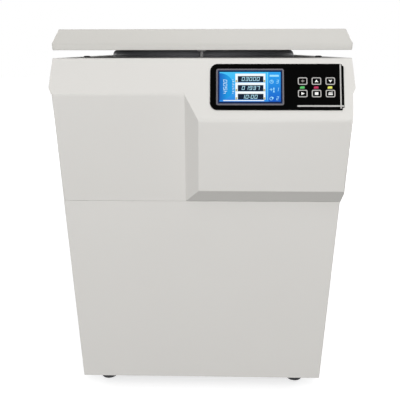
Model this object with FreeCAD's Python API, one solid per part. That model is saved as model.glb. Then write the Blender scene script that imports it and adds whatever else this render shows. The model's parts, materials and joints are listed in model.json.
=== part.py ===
"""Floor-standing laboratory centrifuge with a swing-out rotor, as separate pieces.

Millimetres.  +Z is up, the front faces -Y, and +X is the operator's right.
The origin is on the floor, at the middle of the overall box.
"""
import FreeCAD
import Part

import math
import os

# ---------------------------------------------------------------- driving dimensions

# Cabinet
cabinet_width = 600.0          # outside width of the cabinet and of the lid
cabinet_depth = 700.0          # front panel's plane to the rear panel's plane
lower_height = 474.5           # height of the lower sheet-metal panels
upper_height = 293.0           # height of the moulded top cover
seam = 0.5                     # open line between neighbouring covers
floor_gap = 34.0               # floor to the cabinet's underside
cover_wall = 3.0               # moulded top cover
sheet = 1.5                    # folded sheet-metal panels
panel_return = 20.0            # folded sides of the front and rear panels
panel_corner = 4.0             # outside radius of the folds
side_vent_rows = 8
base_thickness = 4.0
base_intake = 80.0             # square air intake under the motor
fit_gap = 0.3                  # between pieces that are slid or dropped in

# Sloping fascia and control box
fascia_angle = 24.5            # degrees from vertical
fascia_setback = 31.0          # deck's front edge, behind the panel's plane
fascia_crease = 20.0           # radius where the slope meets the vertical face
cover_edge = 5.0               # radius of the cover's other outside edges
side_swell = 5.5               # ridge along each side of the cover
swell_rise = 12.0              # its crest, above the fascia's lower edge
box_projection = 22.0          # control box, in front of the panel's plane
box_left = -33.0               # foot of the box's left flank
box_flank = 28.0               # width of that flank, seen from the front
box_face = 146.5               # height of the box's vertical face

# Lid
lid_gap = 15.0                 # deck to the lid's lower edge
lid_skirt = 13.0
lid_slope = 26.7               # height of the sloping border
lid_inset = 16.0               # width of the sloping border, front and rear
lid_side_inset = 12.0          # and at the sides
lid_setback = 3.0              # lid's front edge, behind the deck's
lid_corner = 4.0
lid_wall = 2.5
bumper_spacing = 524.0         # rubber buffers under the lid
bumper_setback = 120.0         # behind the deck's front edge
bumper_radius = 8.0
bumper_height = 3.0
liner_thickness = 3.0

# Chamber and rotor
chamber_setback = 361.0        # rotor axis behind the front panel's plane
chamber_bore = 437.0           # inside diameter of the bowl
bowl_wall = 1.5
bowl_depth = 231.0
bowl_corner = 18.0             # pressed corner of the bowl's floor
bowl_hole = 40.0               # radius round the shaft
seal_width = 26.5
seal_round = 10.0              # outer upper edge of the lid seal
guard_gap = 9.0                # bowl to the armour ring
guard_wall = 10.0
rotor_radius = 192.5           # largest working radius
bucket_inset = 58.0            # rotor axis to the near side of a bucket
swing_drop = 112.0             # deck to the trunnions
bucket_radius = 42.0
bucket_wall = 3.0
bucket_floor = 4.0
bucket_rise = 30.0             # rim above the trunnions
cushion_thickness = 3.5
trunnion_radius = 5.0
boss_length = 8.0              # trunnion boss beyond the bucket's side
boss_clearance = 1.6           # boss end to the yoke's cross bar
bar_depth = 16.0               # the cross bar, measured along the arm
shaft_radius = 15.0
hub_radius = 28.0
clamp_stud_radius = 8.0
rotor_nut_radius = 20.0
rotor_nut_height = 22.0
running_clearance = 0.05

# Motor
motor_radius = 95.0
motor_height = 258.0
motor_flange_radius = 125.0
motor_flange_thickness = 12.0
motor_ribs = 20
motor_deck_thickness = 8.0
damper_height = 28.0
damper_circle = 104.0          # motor's axis to a damper

# Lock
bolt_radius = 5.0
bolt_knob_radius = 8.0
lock_drop = 34.0               # deck to the bolt's axis
striker_setback = 17.0         # lid seal to the striker
striker_width = 20.0
striker_half_thickness = 3.0
striker_window_width = 13.0

# Lid hinge and gas springs
hinge_setback = 6.0            # lid's rear face behind the hinge axis
hinge_rise = 11.0              # hinge axis above the deck
hinge_spacing = 380.0
hinge_pin_radius = 4.0
knuckle_radius = 8.0
lid_swing = 75.0               # degrees
spring_spacing = 512.0
spring_lever = 62.0            # hinge axis to the lid's spring bracket
spring_rod_radius = 4.0
spring_tube_radius = 9.0

# Control panel, measured on the slope
bezel_left, bezel_width = 18.0, 264.0
bezel_drop, bezel_height = 12.9, 93.7
bezel_thickness = 2.0
bezel_corner = 15.0
display_left, display_width = 30.0, 134.0
display_drop, display_height = 23.1, 74.3
display_border = 5.0
key_columns = (200.6, 227.8, 255.0)
key_rows = (48.4, 73.6)
key_width, key_height = 20.3, 16.5
key_travel = 0.5
key_proud = 1.0
key_corner = 3.0
lamp_drop = 60.8
lamp_width, lamp_height = 10.0, 5.0
trim_x, trim_width = 277.0, 3.3
trim_row, trim_height = 99.1, 4.4
trim_start = 190.0             # left end of the level trim
trim_proud = 0.5
trim_corner = 4.0              # the strip beyond the upright trim starts lower by this
board_drop = 12.0              # slope to the circuit board
board_thickness = 1.6

# Feet
foot_spacing_x = 490.0
foot_front_setback = 50.0
foot_rear_setback = 50.0
foot_radius = 26.0
foot_stud_radius = 6.0
foot_pad_height = 14.0
foot_boss_radius = 14.0
foot_boss_height = 20.0

# Rear services
vent_width, vent_height = 300.0, 200.0
vent_projection = 18.0
vent_rise = 60.0               # cabinet's underside to the vent box
vent_slot, vent_pitch = 6.0, 16.0
fan_size = 120.0
fan_depth = 38.0
fan_blades = 7
inlet_x, inlet_rise = 210.0, 120.0
inlet_width, inlet_height = 50.0, 80.0
rocker_tilt = 8.0              # degrees either side of level
drive_width, drive_depth, drive_height = 180.0, 120.0, 220.0
drive_left = -260.0
drive_setback = 138.0          # behind the front panel's plane
screw_head_radius, screw_head_height = 4.8, 2.6
screw_shank_radius = 2.5

# ---------------------------------------------------------------- places worked out

half_width = cabinet_width / 2
overall_depth = box_projection + cabinet_depth + vent_projection
box_front = -overall_depth / 2
panel_front = box_front + box_projection
panel_rear = panel_front + cabinet_depth
cabinet_bottom = floor_gap
panel_top = cabinet_bottom + lower_height
cover_bottom = panel_top + seam
deck = cover_bottom + upper_height
deck_front = panel_front + fascia_setback
slope_tan = math.tan(math.radians(fascia_angle))

lid_bottom = deck + lid_gap
lid_crease = lid_bottom + lid_skirt
lid_top = lid_crease + lid_slope
lid_front = deck_front + lid_setback
hinge_y = panel_rear - 20.0
hinge_z = deck + hinge_rise
lid_rear = hinge_y + hinge_setback
liner_bottom = lid_bottom + fit_gap
liner_rear = hinge_y - 14.0

axis_y = panel_front + chamber_setback
bowl_radius = chamber_bore / 2
bowl_outside = bowl_radius + bowl_wall
bowl_floor = deck - bowl_depth
guard_inside = bowl_outside + guard_gap
guard_outside = guard_inside + guard_wall
swing_radius = bucket_inset + bucket_radius
swing_z = deck - swing_drop
bucket_bottom = swing_z - (rotor_radius + cushion_thickness + bucket_floor - swing_radius)
hub_bottom = swing_z - 35.0
hub_top = swing_z + 25.0

post = 28.0
post_outside_x = half_width - 4.0
post_inside_x = post_outside_x - post
post_front = deck_front + 21.0
post_rear = hinge_y - 18.0
floor_plate = cabinet_bottom + base_thickness
frame_top = deck - cover_wall - fit_gap
motor_deck_top = bowl_floor - 14.0
motor_deck_bottom = motor_deck_top - motor_deck_thickness
flange_top = motor_deck_bottom - damper_height
motor_top = flange_top - motor_flange_thickness
motor_bottom = motor_top - motor_height

spring_x = spring_spacing / 2
spring_base_y = hinge_y - 32.0
spring_base_z = deck - 112.0
spring_top_y = hinge_y - spring_lever
spring_top_z = deck + 7.5

striker_y = axis_y - bowl_radius - seal_width - striker_setback
lock_z = deck - lock_drop

inlet_z = cabinet_bottom + inlet_rise
vent_z = cabinet_bottom + vent_rise
fan_z = vent_z + vent_height / 2


# ---------------------------------------------------------------- small helpers

def vec(x, y, z):
    return FreeCAD.Vector(x, y, z)


X_AXIS = vec(1, 0, 0)
Y_AXIS = vec(0, 1, 0)
Z_AXIS = vec(0, 0, 1)


def block(x0, x1, y0, y1, z0, z1):
    """Box between two corners."""
    return Part.makeBox(x1 - x0, y1 - y0, z1 - z0, vec(x0, y0, z0))


def rod(radius, start, end):
    """Solid cylinder from one point to another."""
    along = end - start
    return Part.makeCylinder(radius, along.Length, start, along)


def fuse(first, *others):
    """One solid from pieces that touch or overlap."""
    return first.fuse(list(others)).removeSplitter()


def corner(before, point, after, radius):
    """Start, middle and end of the arc that rounds one corner of a flat outline."""
    if radius <= 0:
        return point, point, point
    (px, py) = point
    in_x, in_y = before[0] - px, before[1] - py
    out_x, out_y = after[0] - px, after[1] - py
    in_length = math.hypot(in_x, in_y)
    out_length = math.hypot(out_x, out_y)
    in_x, in_y = in_x / in_length, in_y / in_length
    out_x, out_y = out_x / out_length, out_y / out_length
    half = math.acos(max(-1.0, min(1.0, in_x * out_x + in_y * out_y))) / 2
    reach = radius / math.tan(half)
    middle_x, middle_y = in_x + out_x, in_y + out_y
    middle_length = math.hypot(middle_x, middle_y)
    depth = radius / math.sin(half) - radius
    start = (px + in_x * reach, py + in_y * reach)
    end = (px + out_x * reach, py + out_y * reach)
    middle = (px + middle_x / middle_length * depth, py + middle_y / middle_length * depth)
    return start, middle, end


def outline(points, radii, place):
    """Closed wire through flat points, its corners rounded; place turns (u, v) into a vector."""
    count = len(points)
    if not isinstance(radii, (list, tuple)):
        radii = [radii] * count
    arcs = [corner(points[i - 1], points[i], points[(i + 1) % count], radii[i]) for i in range(count)]
    edges = []
    for i, (start, middle, end) in enumerate(arcs):
        if start != end:
            edges.append(Part.Arc(place(*start), place(*middle), place(*end)).toShape())
        line_end = arcs[(i + 1) % count][0]
        if math.hypot(line_end[0] - end[0], line_end[1] - end[1]) > 1e-6:
            edges.append(Part.LineSegment(place(*end), place(*line_end)).toShape())
    return Part.Wire(edges)


def across(points, radii, x0, x1):
    """Solid with a (y, z) outline, running in X."""
    wire = outline(points, radii, lambda y, z: vec(x0, y, z))
    return Part.Face(wire).extrude(vec(x1 - x0, 0, 0))


def upright(points, radii, z0, z1):
    """Solid with an (x, y) outline, running in Z."""
    wire = outline(points, radii, lambda x, y: vec(x, y, z0))
    return Part.Face(wire).extrude(vec(0, 0, z1 - z0))


def rectangle(x0, x1, y0, y1):
    return [(x0, y0), (x1, y0), (x1, y1), (x0, y1)]


def turned(points, radii, x=0.0, y=axis_y):
    """Solid of revolution about a vertical axis, from a (radius, z) outline."""
    wire = outline(points, radii, lambda r, z: vec(x + r, y, z))
    return Part.Face(wire).revolve(vec(x, y, 0), Z_AXIS, 360)


def inset(points, wall):
    """Convex outline, listed anticlockwise, moved inward by a wall."""
    count = len(points)
    moved = []
    for i in range(count):
        (x0, y0), (x1, y1) = points[i], points[(i + 1) % count]
        length = math.hypot(x1 - x0, y1 - y0)
        step_x, step_y = -(y1 - y0) / length * wall, (x1 - x0) / length * wall
        moved.append(((x0 + step_x, y0 + step_y), (x1 - x0, y1 - y0)))
    result = []
    for i in range(count):
        (ax, ay), (adx, ady) = moved[i - 1]
        (bx, by), (bdx, bdy) = moved[i]
        share = ((bx - ax) * bdy - (by - ay) * bdx) / (adx * bdy - ady * bdx)
        result.append((ax + adx * share, ay + ady * share))
    return result


def on_slope(shape):
    """Place a shape drawn flat on the sloping fascia: X across, Y up the slope, Z out of it."""
    turn = FreeCAD.Rotation(X_AXIS, 90.0 - fascia_angle)
    placed = shape.copy()
    placed.Placement = FreeCAD.Placement(vec(0, deck_front, deck), turn).multiply(placed.Placement)
    return placed


def slope_plate(left, drop, width, height, low, high, radii=0.0):
    """Flat plate on the slope, its upper left corner a distance down from the deck's edge."""
    return upright(rectangle(left, left + width, -drop - height, -drop), radii, low, high)


def turn_about_axis(shape, degrees):
    """Turn a shape about the rotor's axis."""
    placed = shape.copy()
    placed.rotate(vec(0, axis_y, 0), Z_AXIS, degrees)
    return placed


def save(node, *solids):
    """Write one node; identical small parts share a node as separate solids."""
    shape = solids[0] if len(solids) == 1 else Part.makeCompound(list(solids))
    if not shape.isValid():
        print("not valid:", node)
    expected = len(solids)
    if len(shape.Solids) != expected:
        print("solids in", node, len(shape.Solids), "not", expected)
    shape.exportStep("parts/" + node + ".step")


# ---------------------------------------------------------------- top cover

def slope_z(y):
    """Height of the fascia's plane at a distance from front to back."""
    return deck - (deck_front - y) / slope_tan


def flank_cut(wall):
    """What lies to the left of the control box's slanting flank."""
    length = math.hypot(box_flank, box_projection)
    shift = wall * length / box_projection
    start = (box_left + shift - box_flank, panel_front + box_projection)
    end = (box_left + shift + 1.5 * box_flank, panel_front - 1.5 * box_projection)
    far = box_left - 2 * box_flank
    points = [start, (far, start[1]), (far, end[1]), end]
    return upright(points, 0, cover_bottom - 50, deck)


def cover_body(wall):
    """Main volume of the top cover, moved inward by a wall; the cavity is left open below."""
    crease = slope_z(panel_front)
    points = [
        (panel_front, cover_bottom),
        (panel_rear, cover_bottom),
        (panel_rear, deck),
        (deck_front, deck),
        (panel_front, crease),
    ]
    radii = [0, 0, cover_edge, cover_edge, fascia_crease]
    if wall:
        points = inset(points, wall)
        points[0] = (points[0][0], cover_bottom - 10)
        points[1] = (points[1][0], cover_bottom - 10)
        radii = 0
    side = half_width - wall
    solid = across(points, radii, -side, side)
    if wall:
        return solid
    plan = upright(rectangle(-side, side, panel_front, panel_rear), cover_edge, cover_bottom, deck)
    reach = half_width + side_swell
    wide = across(points, radii, -reach, reach)
    ridges = [side_ridge(sign, reach, crease).common(wide) for sign in (-1, 1)]
    return fuse(solid.common(plan), *ridges)


def side_ridge(sign, reach, crease):
    """Long ridge on one side wall of the cover, from the fascia's lower edge up to the deck."""
    root, inside, top = sign * half_width, sign * (half_width - cover_wall), deck - cover_edge
    crest = crease + swell_rise
    section = [(inside, crease), (root, crease), (sign * reach, crest), (root, top), (inside, top)]
    wire = outline(section, 0, lambda x, z: vec(x, panel_front, z))
    return Part.Face(wire).extrude(vec(0, panel_rear - panel_front, 0))


def cover_box(wall):
    """Control box that stands out of the right of the fascia, moved inward by a wall."""
    inner = panel_front + 13.0
    face_top = slope_z(box_front)
    face_bottom = face_top - box_face
    points = [
        (inner, cover_bottom),
        (inner, slope_z(inner)),
        (box_front, face_top),
        (box_front, face_bottom),
        (panel_front, cover_bottom),
    ]
    radii = [0, 0, fascia_crease, cover_edge, 0]
    right = half_width - wall
    if wall:
        points = inset(points, wall)
        radii = 0
    solid = across(points, radii, box_left - 1.5 * box_flank, right)
    solid = solid.cut(flank_cut(wall))
    if wall:
        return solid
    plan = rectangle(box_left - 2 * box_flank, right, box_front, panel_front + 50.0)
    return solid.common(upright(plan, [0, cover_edge, 0, 0], cover_bottom, deck))


def top_cover():
    """Moulded upper housing: deck, sloping fascia, control box and upper side walls."""
    shell = fuse(cover_body(0), cover_box(0))
    shell = shell.cut([cover_body(cover_wall), cover_box(cover_wall)])
    mouth = Part.makeCylinder(bowl_outside + fit_gap, 40, vec(0, axis_y, deck - 20))
    striker_slot = block(-8, 8, striker_y - 14, striker_y + 14, deck - 20, deck + 5)
    spring_slots = [
        block(x - 13, x + 13, spring_top_y - 14, spring_base_y + 27, deck - 20, deck + 5)
        for x in (-spring_x, spring_x)
    ]
    ledge_x, ledge_y = 7.0, 6.0
    window = on_slope(slope_plate(
        bezel_left + ledge_x, bezel_drop + ledge_y,
        bezel_width - 2 * ledge_x, bezel_height - 2 * ledge_y, -20, 20))
    shell = shell.cut([mouth, striker_slot, window] + spring_slots)
    save("top_cover", shell.removeSplitter())


# ---------------------------------------------------------------- lower cabinet

def folded_panel(front, rear, face_at_front):
    """Sheet panel with both sides folded round the cabinet's corners."""
    radii = [panel_corner, panel_corner, 0, 0] if face_at_front else [0, 0, panel_corner, panel_corner]
    outside = upright(rectangle(-half_width, half_width, front, rear), radii, cabinet_bottom, panel_top)
    side = half_width - sheet
    if face_at_front:
        inside = rectangle(-side, side, front + sheet, rear + 10)
        inner_radii = [panel_corner - sheet, panel_corner - sheet, 0, 0]
    else:
        inside = rectangle(-side, side, front - 10, rear - sheet)
        inner_radii = [0, 0, panel_corner - sheet, panel_corner - sheet]
    return outside.cut(upright(inside, inner_radii, cabinet_bottom - 5, panel_top + 5))


def front_panel():
    save("front_panel", folded_panel(panel_front, panel_front + panel_return, True))


def screw_places():
    """Rear panel's screws, as (x, z)."""
    heights = (cabinet_bottom + 50.0, cabinet_bottom + lower_height / 2, panel_top - 20.0)
    return [(side * (post_inside_x + post / 2), z) for side in (-1, 1) for z in heights]


def rear_panel():
    """Rear panel with a raised, slotted vent box over the fan."""
    panel = folded_panel(panel_rear - panel_return, panel_rear, False)
    left, right = -vent_width / 2, vent_width / 2
    face = panel_rear + vent_projection
    cowl = block(left, right, panel_rear - sheet, face, vent_z, vent_z + vent_height)
    panel = fuse(panel, cowl)
    hollow = block(
        left + sheet, right - sheet, panel_rear, face - sheet, vent_z + sheet, vent_z + vent_height - sheet)
    fan_mouth = rod(fan_size / 2 - 3, vec(0, panel_rear - 5, fan_z), vec(0, panel_rear + 5, fan_z))
    cuts = [hollow, fan_mouth]
    margin = 20.0
    for row in range(int((vent_height - 2 * margin) / vent_pitch)):
        z = vent_z + margin + 4 + row * vent_pitch
        cuts.append(block(left + margin, -8, face - 10, face + 5, z, z + vent_slot))
        cuts.append(block(8, right - margin, face - 10, face + 5, z, z + vent_slot))
    half_w, half_h = inlet_width / 2 - 4, inlet_height / 2 - 4
    low, high = inlet_z - half_h, inlet_z + half_h
    cuts.append(block(inlet_x - half_w, inlet_x + half_w, panel_rear - 5, panel_rear + 5, low, high))
    hole = screw_shank_radius + running_clearance
    for x, z in screw_places():
        cuts.append(rod(hole, vec(x, panel_rear - 5, z), vec(x, panel_rear + 5, z)))
    save("rear_panel", panel.cut(cuts))


def side_panels():
    """Flat side panels with a field of vent slots low down at the rear."""
    front = panel_front + panel_return + seam
    rear = panel_rear - panel_return - seam
    panels = []
    for side in (-1, 1):
        low, high = sorted((side * half_width, side * (half_width - sheet)))
        panel = block(low, high, front, rear, cabinet_bottom, panel_top)
        rows = [cabinet_bottom + 70 + vent_pitch * row for row in range(side_vent_rows)]
        slots = [block(low - 5, high + 5, rear - 240, rear - 80, z, z + vent_slot) for z in rows]
        panels.append(panel.cut(slots))
    save("side_panels", *panels)


def foot_places():
    """Levelling feet, as (x, y): front left, front right, rear left, rear right."""
    x = foot_spacing_x / 2
    front = panel_front + foot_front_setback
    rear = panel_rear - foot_rear_setback
    return [(-x, front), (x, front), (-x, rear), (x, rear)]


def base_plate():
    """Floor pan with a threaded boss above each foot."""
    side = half_width - sheet - fit_gap
    reach = (panel_front + sheet + fit_gap, panel_rear - sheet - fit_gap)
    pan = upright(rectangle(-side, side, *reach), panel_corner, cabinet_bottom, floor_plate)
    bosses = [
        Part.makeCylinder(foot_boss_radius, foot_boss_height, vec(x, y, floor_plate))
        for x, y in foot_places()
    ]
    pan = fuse(pan, *bosses)
    bore = foot_stud_radius + running_clearance
    holes = [Part.makeCylinder(bore, 60, vec(x, y, cabinet_bottom - 5)) for x, y in foot_places()]
    reach = base_intake / 2
    intake = block(-reach, reach, -reach, reach, cabinet_bottom - 5, floor_plate + 5)
    save("base_plate", pan.cut(holes + [intake]))


def levelling_feet():
    """Rubber pad moulded on a threaded stud that screws into the floor pan."""
    stud_top = floor_plate + foot_boss_height + 4
    for number, (x, y) in enumerate(foot_places(), start=1):
        pad = turned(
            [(0, 0), (foot_radius, 0), (foot_radius - 3, foot_pad_height), (0, foot_pad_height)],
            [0, 1.5, 3, 0], x, y,
        )
        nut = Part.makeCylinder(10, 6, vec(x, y, foot_pad_height))
        stud_foot = foot_pad_height + 4
        stud = Part.makeCylinder(foot_stud_radius, stud_top - stud_foot, vec(x, y, stud_foot))
        save("levelling_foot_%d" % number, fuse(pad, nut, stud))


# ---------------------------------------------------------------- chassis

def chassis_frame():
    """Welded square-tube frame that carries the chamber, the motor and the lid springs."""
    x_out, x_in = post_outside_x, post_inside_x
    y_out_front, y_out_rear = post_front, post_rear
    y_in_front, y_in_rear = post_front + post, post_rear - post
    members = []
    for side in (-1, 1):
        low, high = sorted((side * x_out, side * x_in))
        members.append(block(low, high, y_out_front, y_in_front, floor_plate, frame_top))
        members.append(block(low, high, y_in_rear, y_out_rear, floor_plate, frame_top))
        for z in (frame_top - post, motor_deck_bottom - post):
            members.append(block(low, high, y_in_front, y_in_rear, z, z + post))
        stud_start, stud_end = side * (x_in + 2), side * (spring_x - 4)
        members.append(rod(
            spring_rod_radius,
            vec(stud_start, spring_base_y, spring_base_z), vec(stud_end, spring_base_y, spring_base_z)))
    for z in (frame_top - post, motor_deck_bottom - post):
        members.append(block(-x_in, x_in, y_out_front, y_in_front, z, z + post))
    for z in (spring_base_z - 12 - post, motor_deck_bottom - post):
        members.append(block(-x_in, x_in, y_in_rear, y_out_rear, z, z + post))
    frame = fuse(members[0], *members[1:])
    save("chassis_frame", frame)


def motor_deck():
    """Steel plate under the chamber, carrying the guard ring above and the motor below."""
    side = post_inside_x - fit_gap
    plate = block(-side, side, post_front, post_rear, motor_deck_bottom, motor_deck_top)
    mouth = Part.makeCylinder(50, 40, vec(0, axis_y, motor_deck_bottom - 10))
    save("motor_deck", plate.cut(mouth))


def casing_screws():
    """Pan-head screws of the rear panel."""
    screws = []
    face = panel_rear + screw_head_height
    recess = face - 1.1
    long_half, short_half = 3.2, 0.6
    for x, z in screw_places():
        head = rod(screw_head_radius, vec(x, panel_rear, z), vec(x, face, z))
        head = head.makeFillet(1.2, [edge for edge in head.Edges if edge.CenterOfMass.y > face - 0.1])
        shank = rod(screw_shank_radius, vec(x, panel_rear - 12, z), vec(x, panel_rear, z))
        slot = block(x - long_half, x + long_half, recess, face + 2, z - short_half, z + short_half)
        cross = block(x - short_half, x + short_half, recess, face + 2, z - long_half, z + long_half)
        screws.append(fuse(head, shank).cut([slot, cross]))
    save("casing_screws", *screws)


# ---------------------------------------------------------------- lid

def lid_volume(wall):
    """Lid's outer or inner volume: an upright skirt under a sloping border and a flat top."""
    def ring(side, end, z):
        points = rectangle(-half_width + side, half_width - side, lid_front + end, lid_rear - end)
        return outline(points, lid_corner - wall, lambda x, y: vec(x, y, z))

    bottom = lid_bottom - (5 if wall else 0)
    skirt = Part.Face(ring(wall, wall, bottom)).extrude(vec(0, 0, lid_crease - bottom))
    border = ring(wall, wall, lid_crease)
    top = ring(wall + lid_side_inset, wall + lid_inset, lid_top - wall)
    return fuse(skirt, Part.makeLoft([border, top], True, True))


def lid_shell():
    """Moulded lid, notched at the rear round both hinges."""
    shell = lid_volume(0).cut(lid_volume(lid_wall))
    notches = [
        block(x - 34, x + 34, lid_rear - 10, lid_rear + 5, lid_bottom - 5, hinge_z + 11)
        for x in (-hinge_spacing / 2, hinge_spacing / 2)
    ]
    save("lid_shell", shell.cut(notches))


def lid_liner():
    """Steel plate across the lid's underside, with the brackets of the gas springs."""
    reach = half_width - lid_wall - fit_gap
    round_corner = lid_corner - lid_wall
    plan = rectangle(-reach, reach, lid_front + lid_wall + fit_gap, liner_rear)
    plate = upright(plan, [round_corner, round_corner, 0, 0], liner_bottom, liner_bottom + liner_thickness)
    brackets = []
    for side in (-1, 1):
        low, high = sorted((side * (spring_x + 4 + fit_gap), side * (spring_x + 10)))
        front, rear = spring_top_y - 10, spring_top_y + 10
        brackets.append(block(low, high, front, rear, spring_top_z - 6, liner_bottom))
    save("lid_liner", fuse(plate, *brackets))


def lid_striker():
    """Latch loop that hangs from the liner and enters the lock through the deck."""
    half, reach = striker_half_thickness, striker_width / 2
    flange_bottom = liner_bottom - 3
    grip = reach + 3
    flange = block(-3 * half, 3 * half, striker_y - grip, striker_y + grip, flange_bottom, liner_bottom)
    tongue = block(-half, half, striker_y - reach, striker_y + reach, lock_z - 13, flange_bottom)
    opening = striker_window_width / 2
    sill = lock_z - bolt_radius - 0.6
    window = block(-10, 10, striker_y - opening, striker_y + opening, sill, lock_z + opening)
    save("lid_striker", fuse(flange, tongue).cut(window))


def lid_hinges():
    """Two hinges: brackets on the deck, pins through their ears, and arms under the liner."""
    def bar(radius, start, end):
        return rod(radius, vec(start, hinge_y, hinge_z), vec(end, hinge_y, hinge_z))

    ear_width, barrel_half, foot_half, leaf_length = 6.0, 15.5, 32.0, 90.0
    brackets, pins, arms = [], [], []
    for x in (-hinge_spacing / 2, hinge_spacing / 2):
        foot = block(x - foot_half, x + foot_half, hinge_y - 16, panel_rear - 8, deck, deck + 2.5)
        ears = []
        for start in (x - barrel_half - 0.5 - ear_width, x + barrel_half + 0.5):
            end = start + ear_width
            ears.append(block(start, end, hinge_y - knuckle_radius, hinge_y + knuckle_radius, deck, hinge_z))
            ears.append(bar(knuckle_radius, start, end))
        brackets.append(fuse(foot, *ears).cut(bar(hinge_pin_radius + 0.03, x - foot_half, x + foot_half)))
        pins.append(bar(hinge_pin_radius, x - 24, x + 24))
        barrel = bar(knuckle_radius, x - barrel_half, x + barrel_half)
        low, high = x - barrel_half, x + barrel_half
        leaf = block(low, high, hinge_y - leaf_length, hinge_y, liner_bottom - 3, liner_bottom)
        bore = bar(hinge_pin_radius + running_clearance, x - foot_half, x + foot_half)
        arms.append(fuse(barrel, leaf).cut(bore))
    save("lid_hinge_brackets", *brackets)
    save("lid_hinge_pins", *pins)
    save("lid_hinge_arms", *arms)


def gas_springs():
    """Two gas springs: tubes on the chassis, rods that end beside the lid's brackets."""
    closed_y, closed_z = spring_top_y - spring_base_y, spring_top_z - spring_base_z
    length = math.hypot(closed_y, closed_z)
    lean = math.degrees(math.atan2(closed_y, closed_z))
    swing = math.radians(lid_swing)
    top_y, top_z = spring_top_y - hinge_y, spring_top_z - hinge_z
    open_y = hinge_y + top_y * math.cos(swing) + top_z * math.sin(swing) - spring_base_y
    open_z = hinge_z - top_y * math.sin(swing) + top_z * math.cos(swing) - spring_base_z
    open_length = math.hypot(open_y, open_z)
    stroke = open_length - length
    eye = 8.0
    tube_end = length - 26.0
    rod_start = tube_end - stroke - 20.0
    bore = spring_rod_radius + 0.1
    for name, x in (("left", -spring_x), ("right", spring_x)):
        tube = rod(spring_tube_radius, vec(x, 0, eye), vec(x, 0, tube_end))
        lower_eye = rod(eye, vec(x - 4, 0, 0), vec(x + 4, 0, 0))
        neck = rod(5, vec(x, 0, 3), vec(x, 0, eye + 3))
        tube = fuse(tube, neck, lower_eye)
        pivot = rod(spring_rod_radius + running_clearance, vec(x - 20, 0, 0), vec(x + 20, 0, 0))
        chamber = rod(bore, vec(x, 0, eye + 10), vec(x, 0, tube_end + 5))
        tube = tube.cut([pivot, chamber])
        plunger = rod(spring_rod_radius, vec(x, 0, rod_start), vec(x, 0, length - 3))
        upper_eye = rod(6, vec(x - 4, 0, length), vec(x + 4, 0, length))
        plunger = fuse(plunger, upper_eye)
        for node, shape in (("tube", tube), ("rod", plunger)):
            shape.rotate(vec(x, 0, 0), X_AXIS, -lean)
            shape.translate(vec(0, spring_base_y, spring_base_z))
            save("gas_spring_%s_%s" % (name, node), shape)


# ---------------------------------------------------------------- lock

def lid_lock():
    """Lock under the deck: a housing with the tongue's channel and a cross bolt."""
    def bar(radius, start, end):
        return rod(radius, vec(start, striker_y, lock_z), vec(end, striker_y, lock_z))

    half_length, channel_half = 46.0, 6.0
    knob_start, bolt_end = -70.0, -channel_half - 0.5
    housing = block(-half_length, half_length, post_front + post, striker_y + 20, lock_z - 18, frame_top)
    channel = block(-channel_half, channel_half, striker_y - 14, striker_y + 14, lock_z - 15, deck + 5)
    bore = bar(bolt_radius + running_clearance, -half_length - 4, 22)
    save("lock_housing", housing.cut([channel, bore]))
    bolt = bar(bolt_radius, knob_start + 8, bolt_end)
    knob = bar(bolt_knob_radius, knob_start, knob_start + 8)
    nose = [edge for edge in bolt.Edges if edge.CenterOfMass.x > bolt_end - 0.5]
    save("lock_bolt", fuse(bolt.makeChamfer(1.0, nose), knob))


# ---------------------------------------------------------------- chamber

def chamber():
    """Lid seal on the deck, stainless bowl, rubber boot and armour ring."""
    seal_outside = bowl_radius + seal_width
    seal = turned(
        [(bowl_radius, deck), (seal_outside, deck), (seal_outside, lid_bottom), (bowl_radius, lid_bottom)],
        [0, 0, seal_round, 4.0],
    )
    save("chamber_seal", seal)

    top, inner_floor = deck - fit_gap, bowl_floor + bowl_wall
    outer = [(0, bowl_floor), (bowl_outside, bowl_floor), (bowl_outside, top), (0, top)]
    inner = [(0, inner_floor), (bowl_radius, inner_floor), (bowl_radius, deck + 5), (0, deck + 5)]
    bowl = turned(outer, [0, bowl_corner + bowl_wall, 0, 0]).cut(turned(inner, [0, bowl_corner, 0, 0]))
    weld = inner_floor + bowl_corner
    below = Part.makeCylinder(bowl_outside + 5, weld - bowl_floor + 5, vec(0, axis_y, bowl_floor - 5))
    shaft_hole = Part.makeCylinder(bowl_hole, 40, vec(0, axis_y, bowl_floor - 20))
    save("chamber_wall", bowl.cut(below))
    save("chamber_floor", bowl.common(below).cut(shaft_hole))

    bore, neck, skirt, lip = 24.0, bowl_hole - fit_gap, 60.0, 46.0
    skirt_top, boot_top = motor_deck_top + 4, bowl_floor + 22
    boot_points = [
        (bore, motor_deck_top), (skirt, motor_deck_top), (skirt, skirt_top), (neck, skirt_top),
        (neck, bowl_floor + 3), (lip, bowl_floor + 3), (lip, bowl_floor + 8),
        (bore + 6, boot_top), (bore, boot_top),
    ]
    save("shaft_boot", turned(boot_points, 0))

    guard = Part.makeCylinder(guard_outside, frame_top - motor_deck_top, vec(0, axis_y, motor_deck_top))
    bore = Part.makeCylinder(guard_inside, frame_top, vec(0, axis_y, motor_deck_top - 5))
    save("guard_ring", guard.cut(bore))


def deck_bumpers():
    """Two low rubber buffers on the deck, in front of the seal."""
    rounded = []
    for x in (-bumper_spacing / 2, bumper_spacing / 2):
        buffer = Part.makeCylinder(bumper_radius, bumper_height, vec(x, deck_front + bumper_setback, deck))
        rim = [edge for edge in buffer.Edges if edge.CenterOfMass.z > deck + bumper_height - 0.1]
        rounded.append(buffer.makeFillet(1.2, rim))
    save("deck_bumpers", *rounded)


# ---------------------------------------------------------------- motor and rotor

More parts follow.
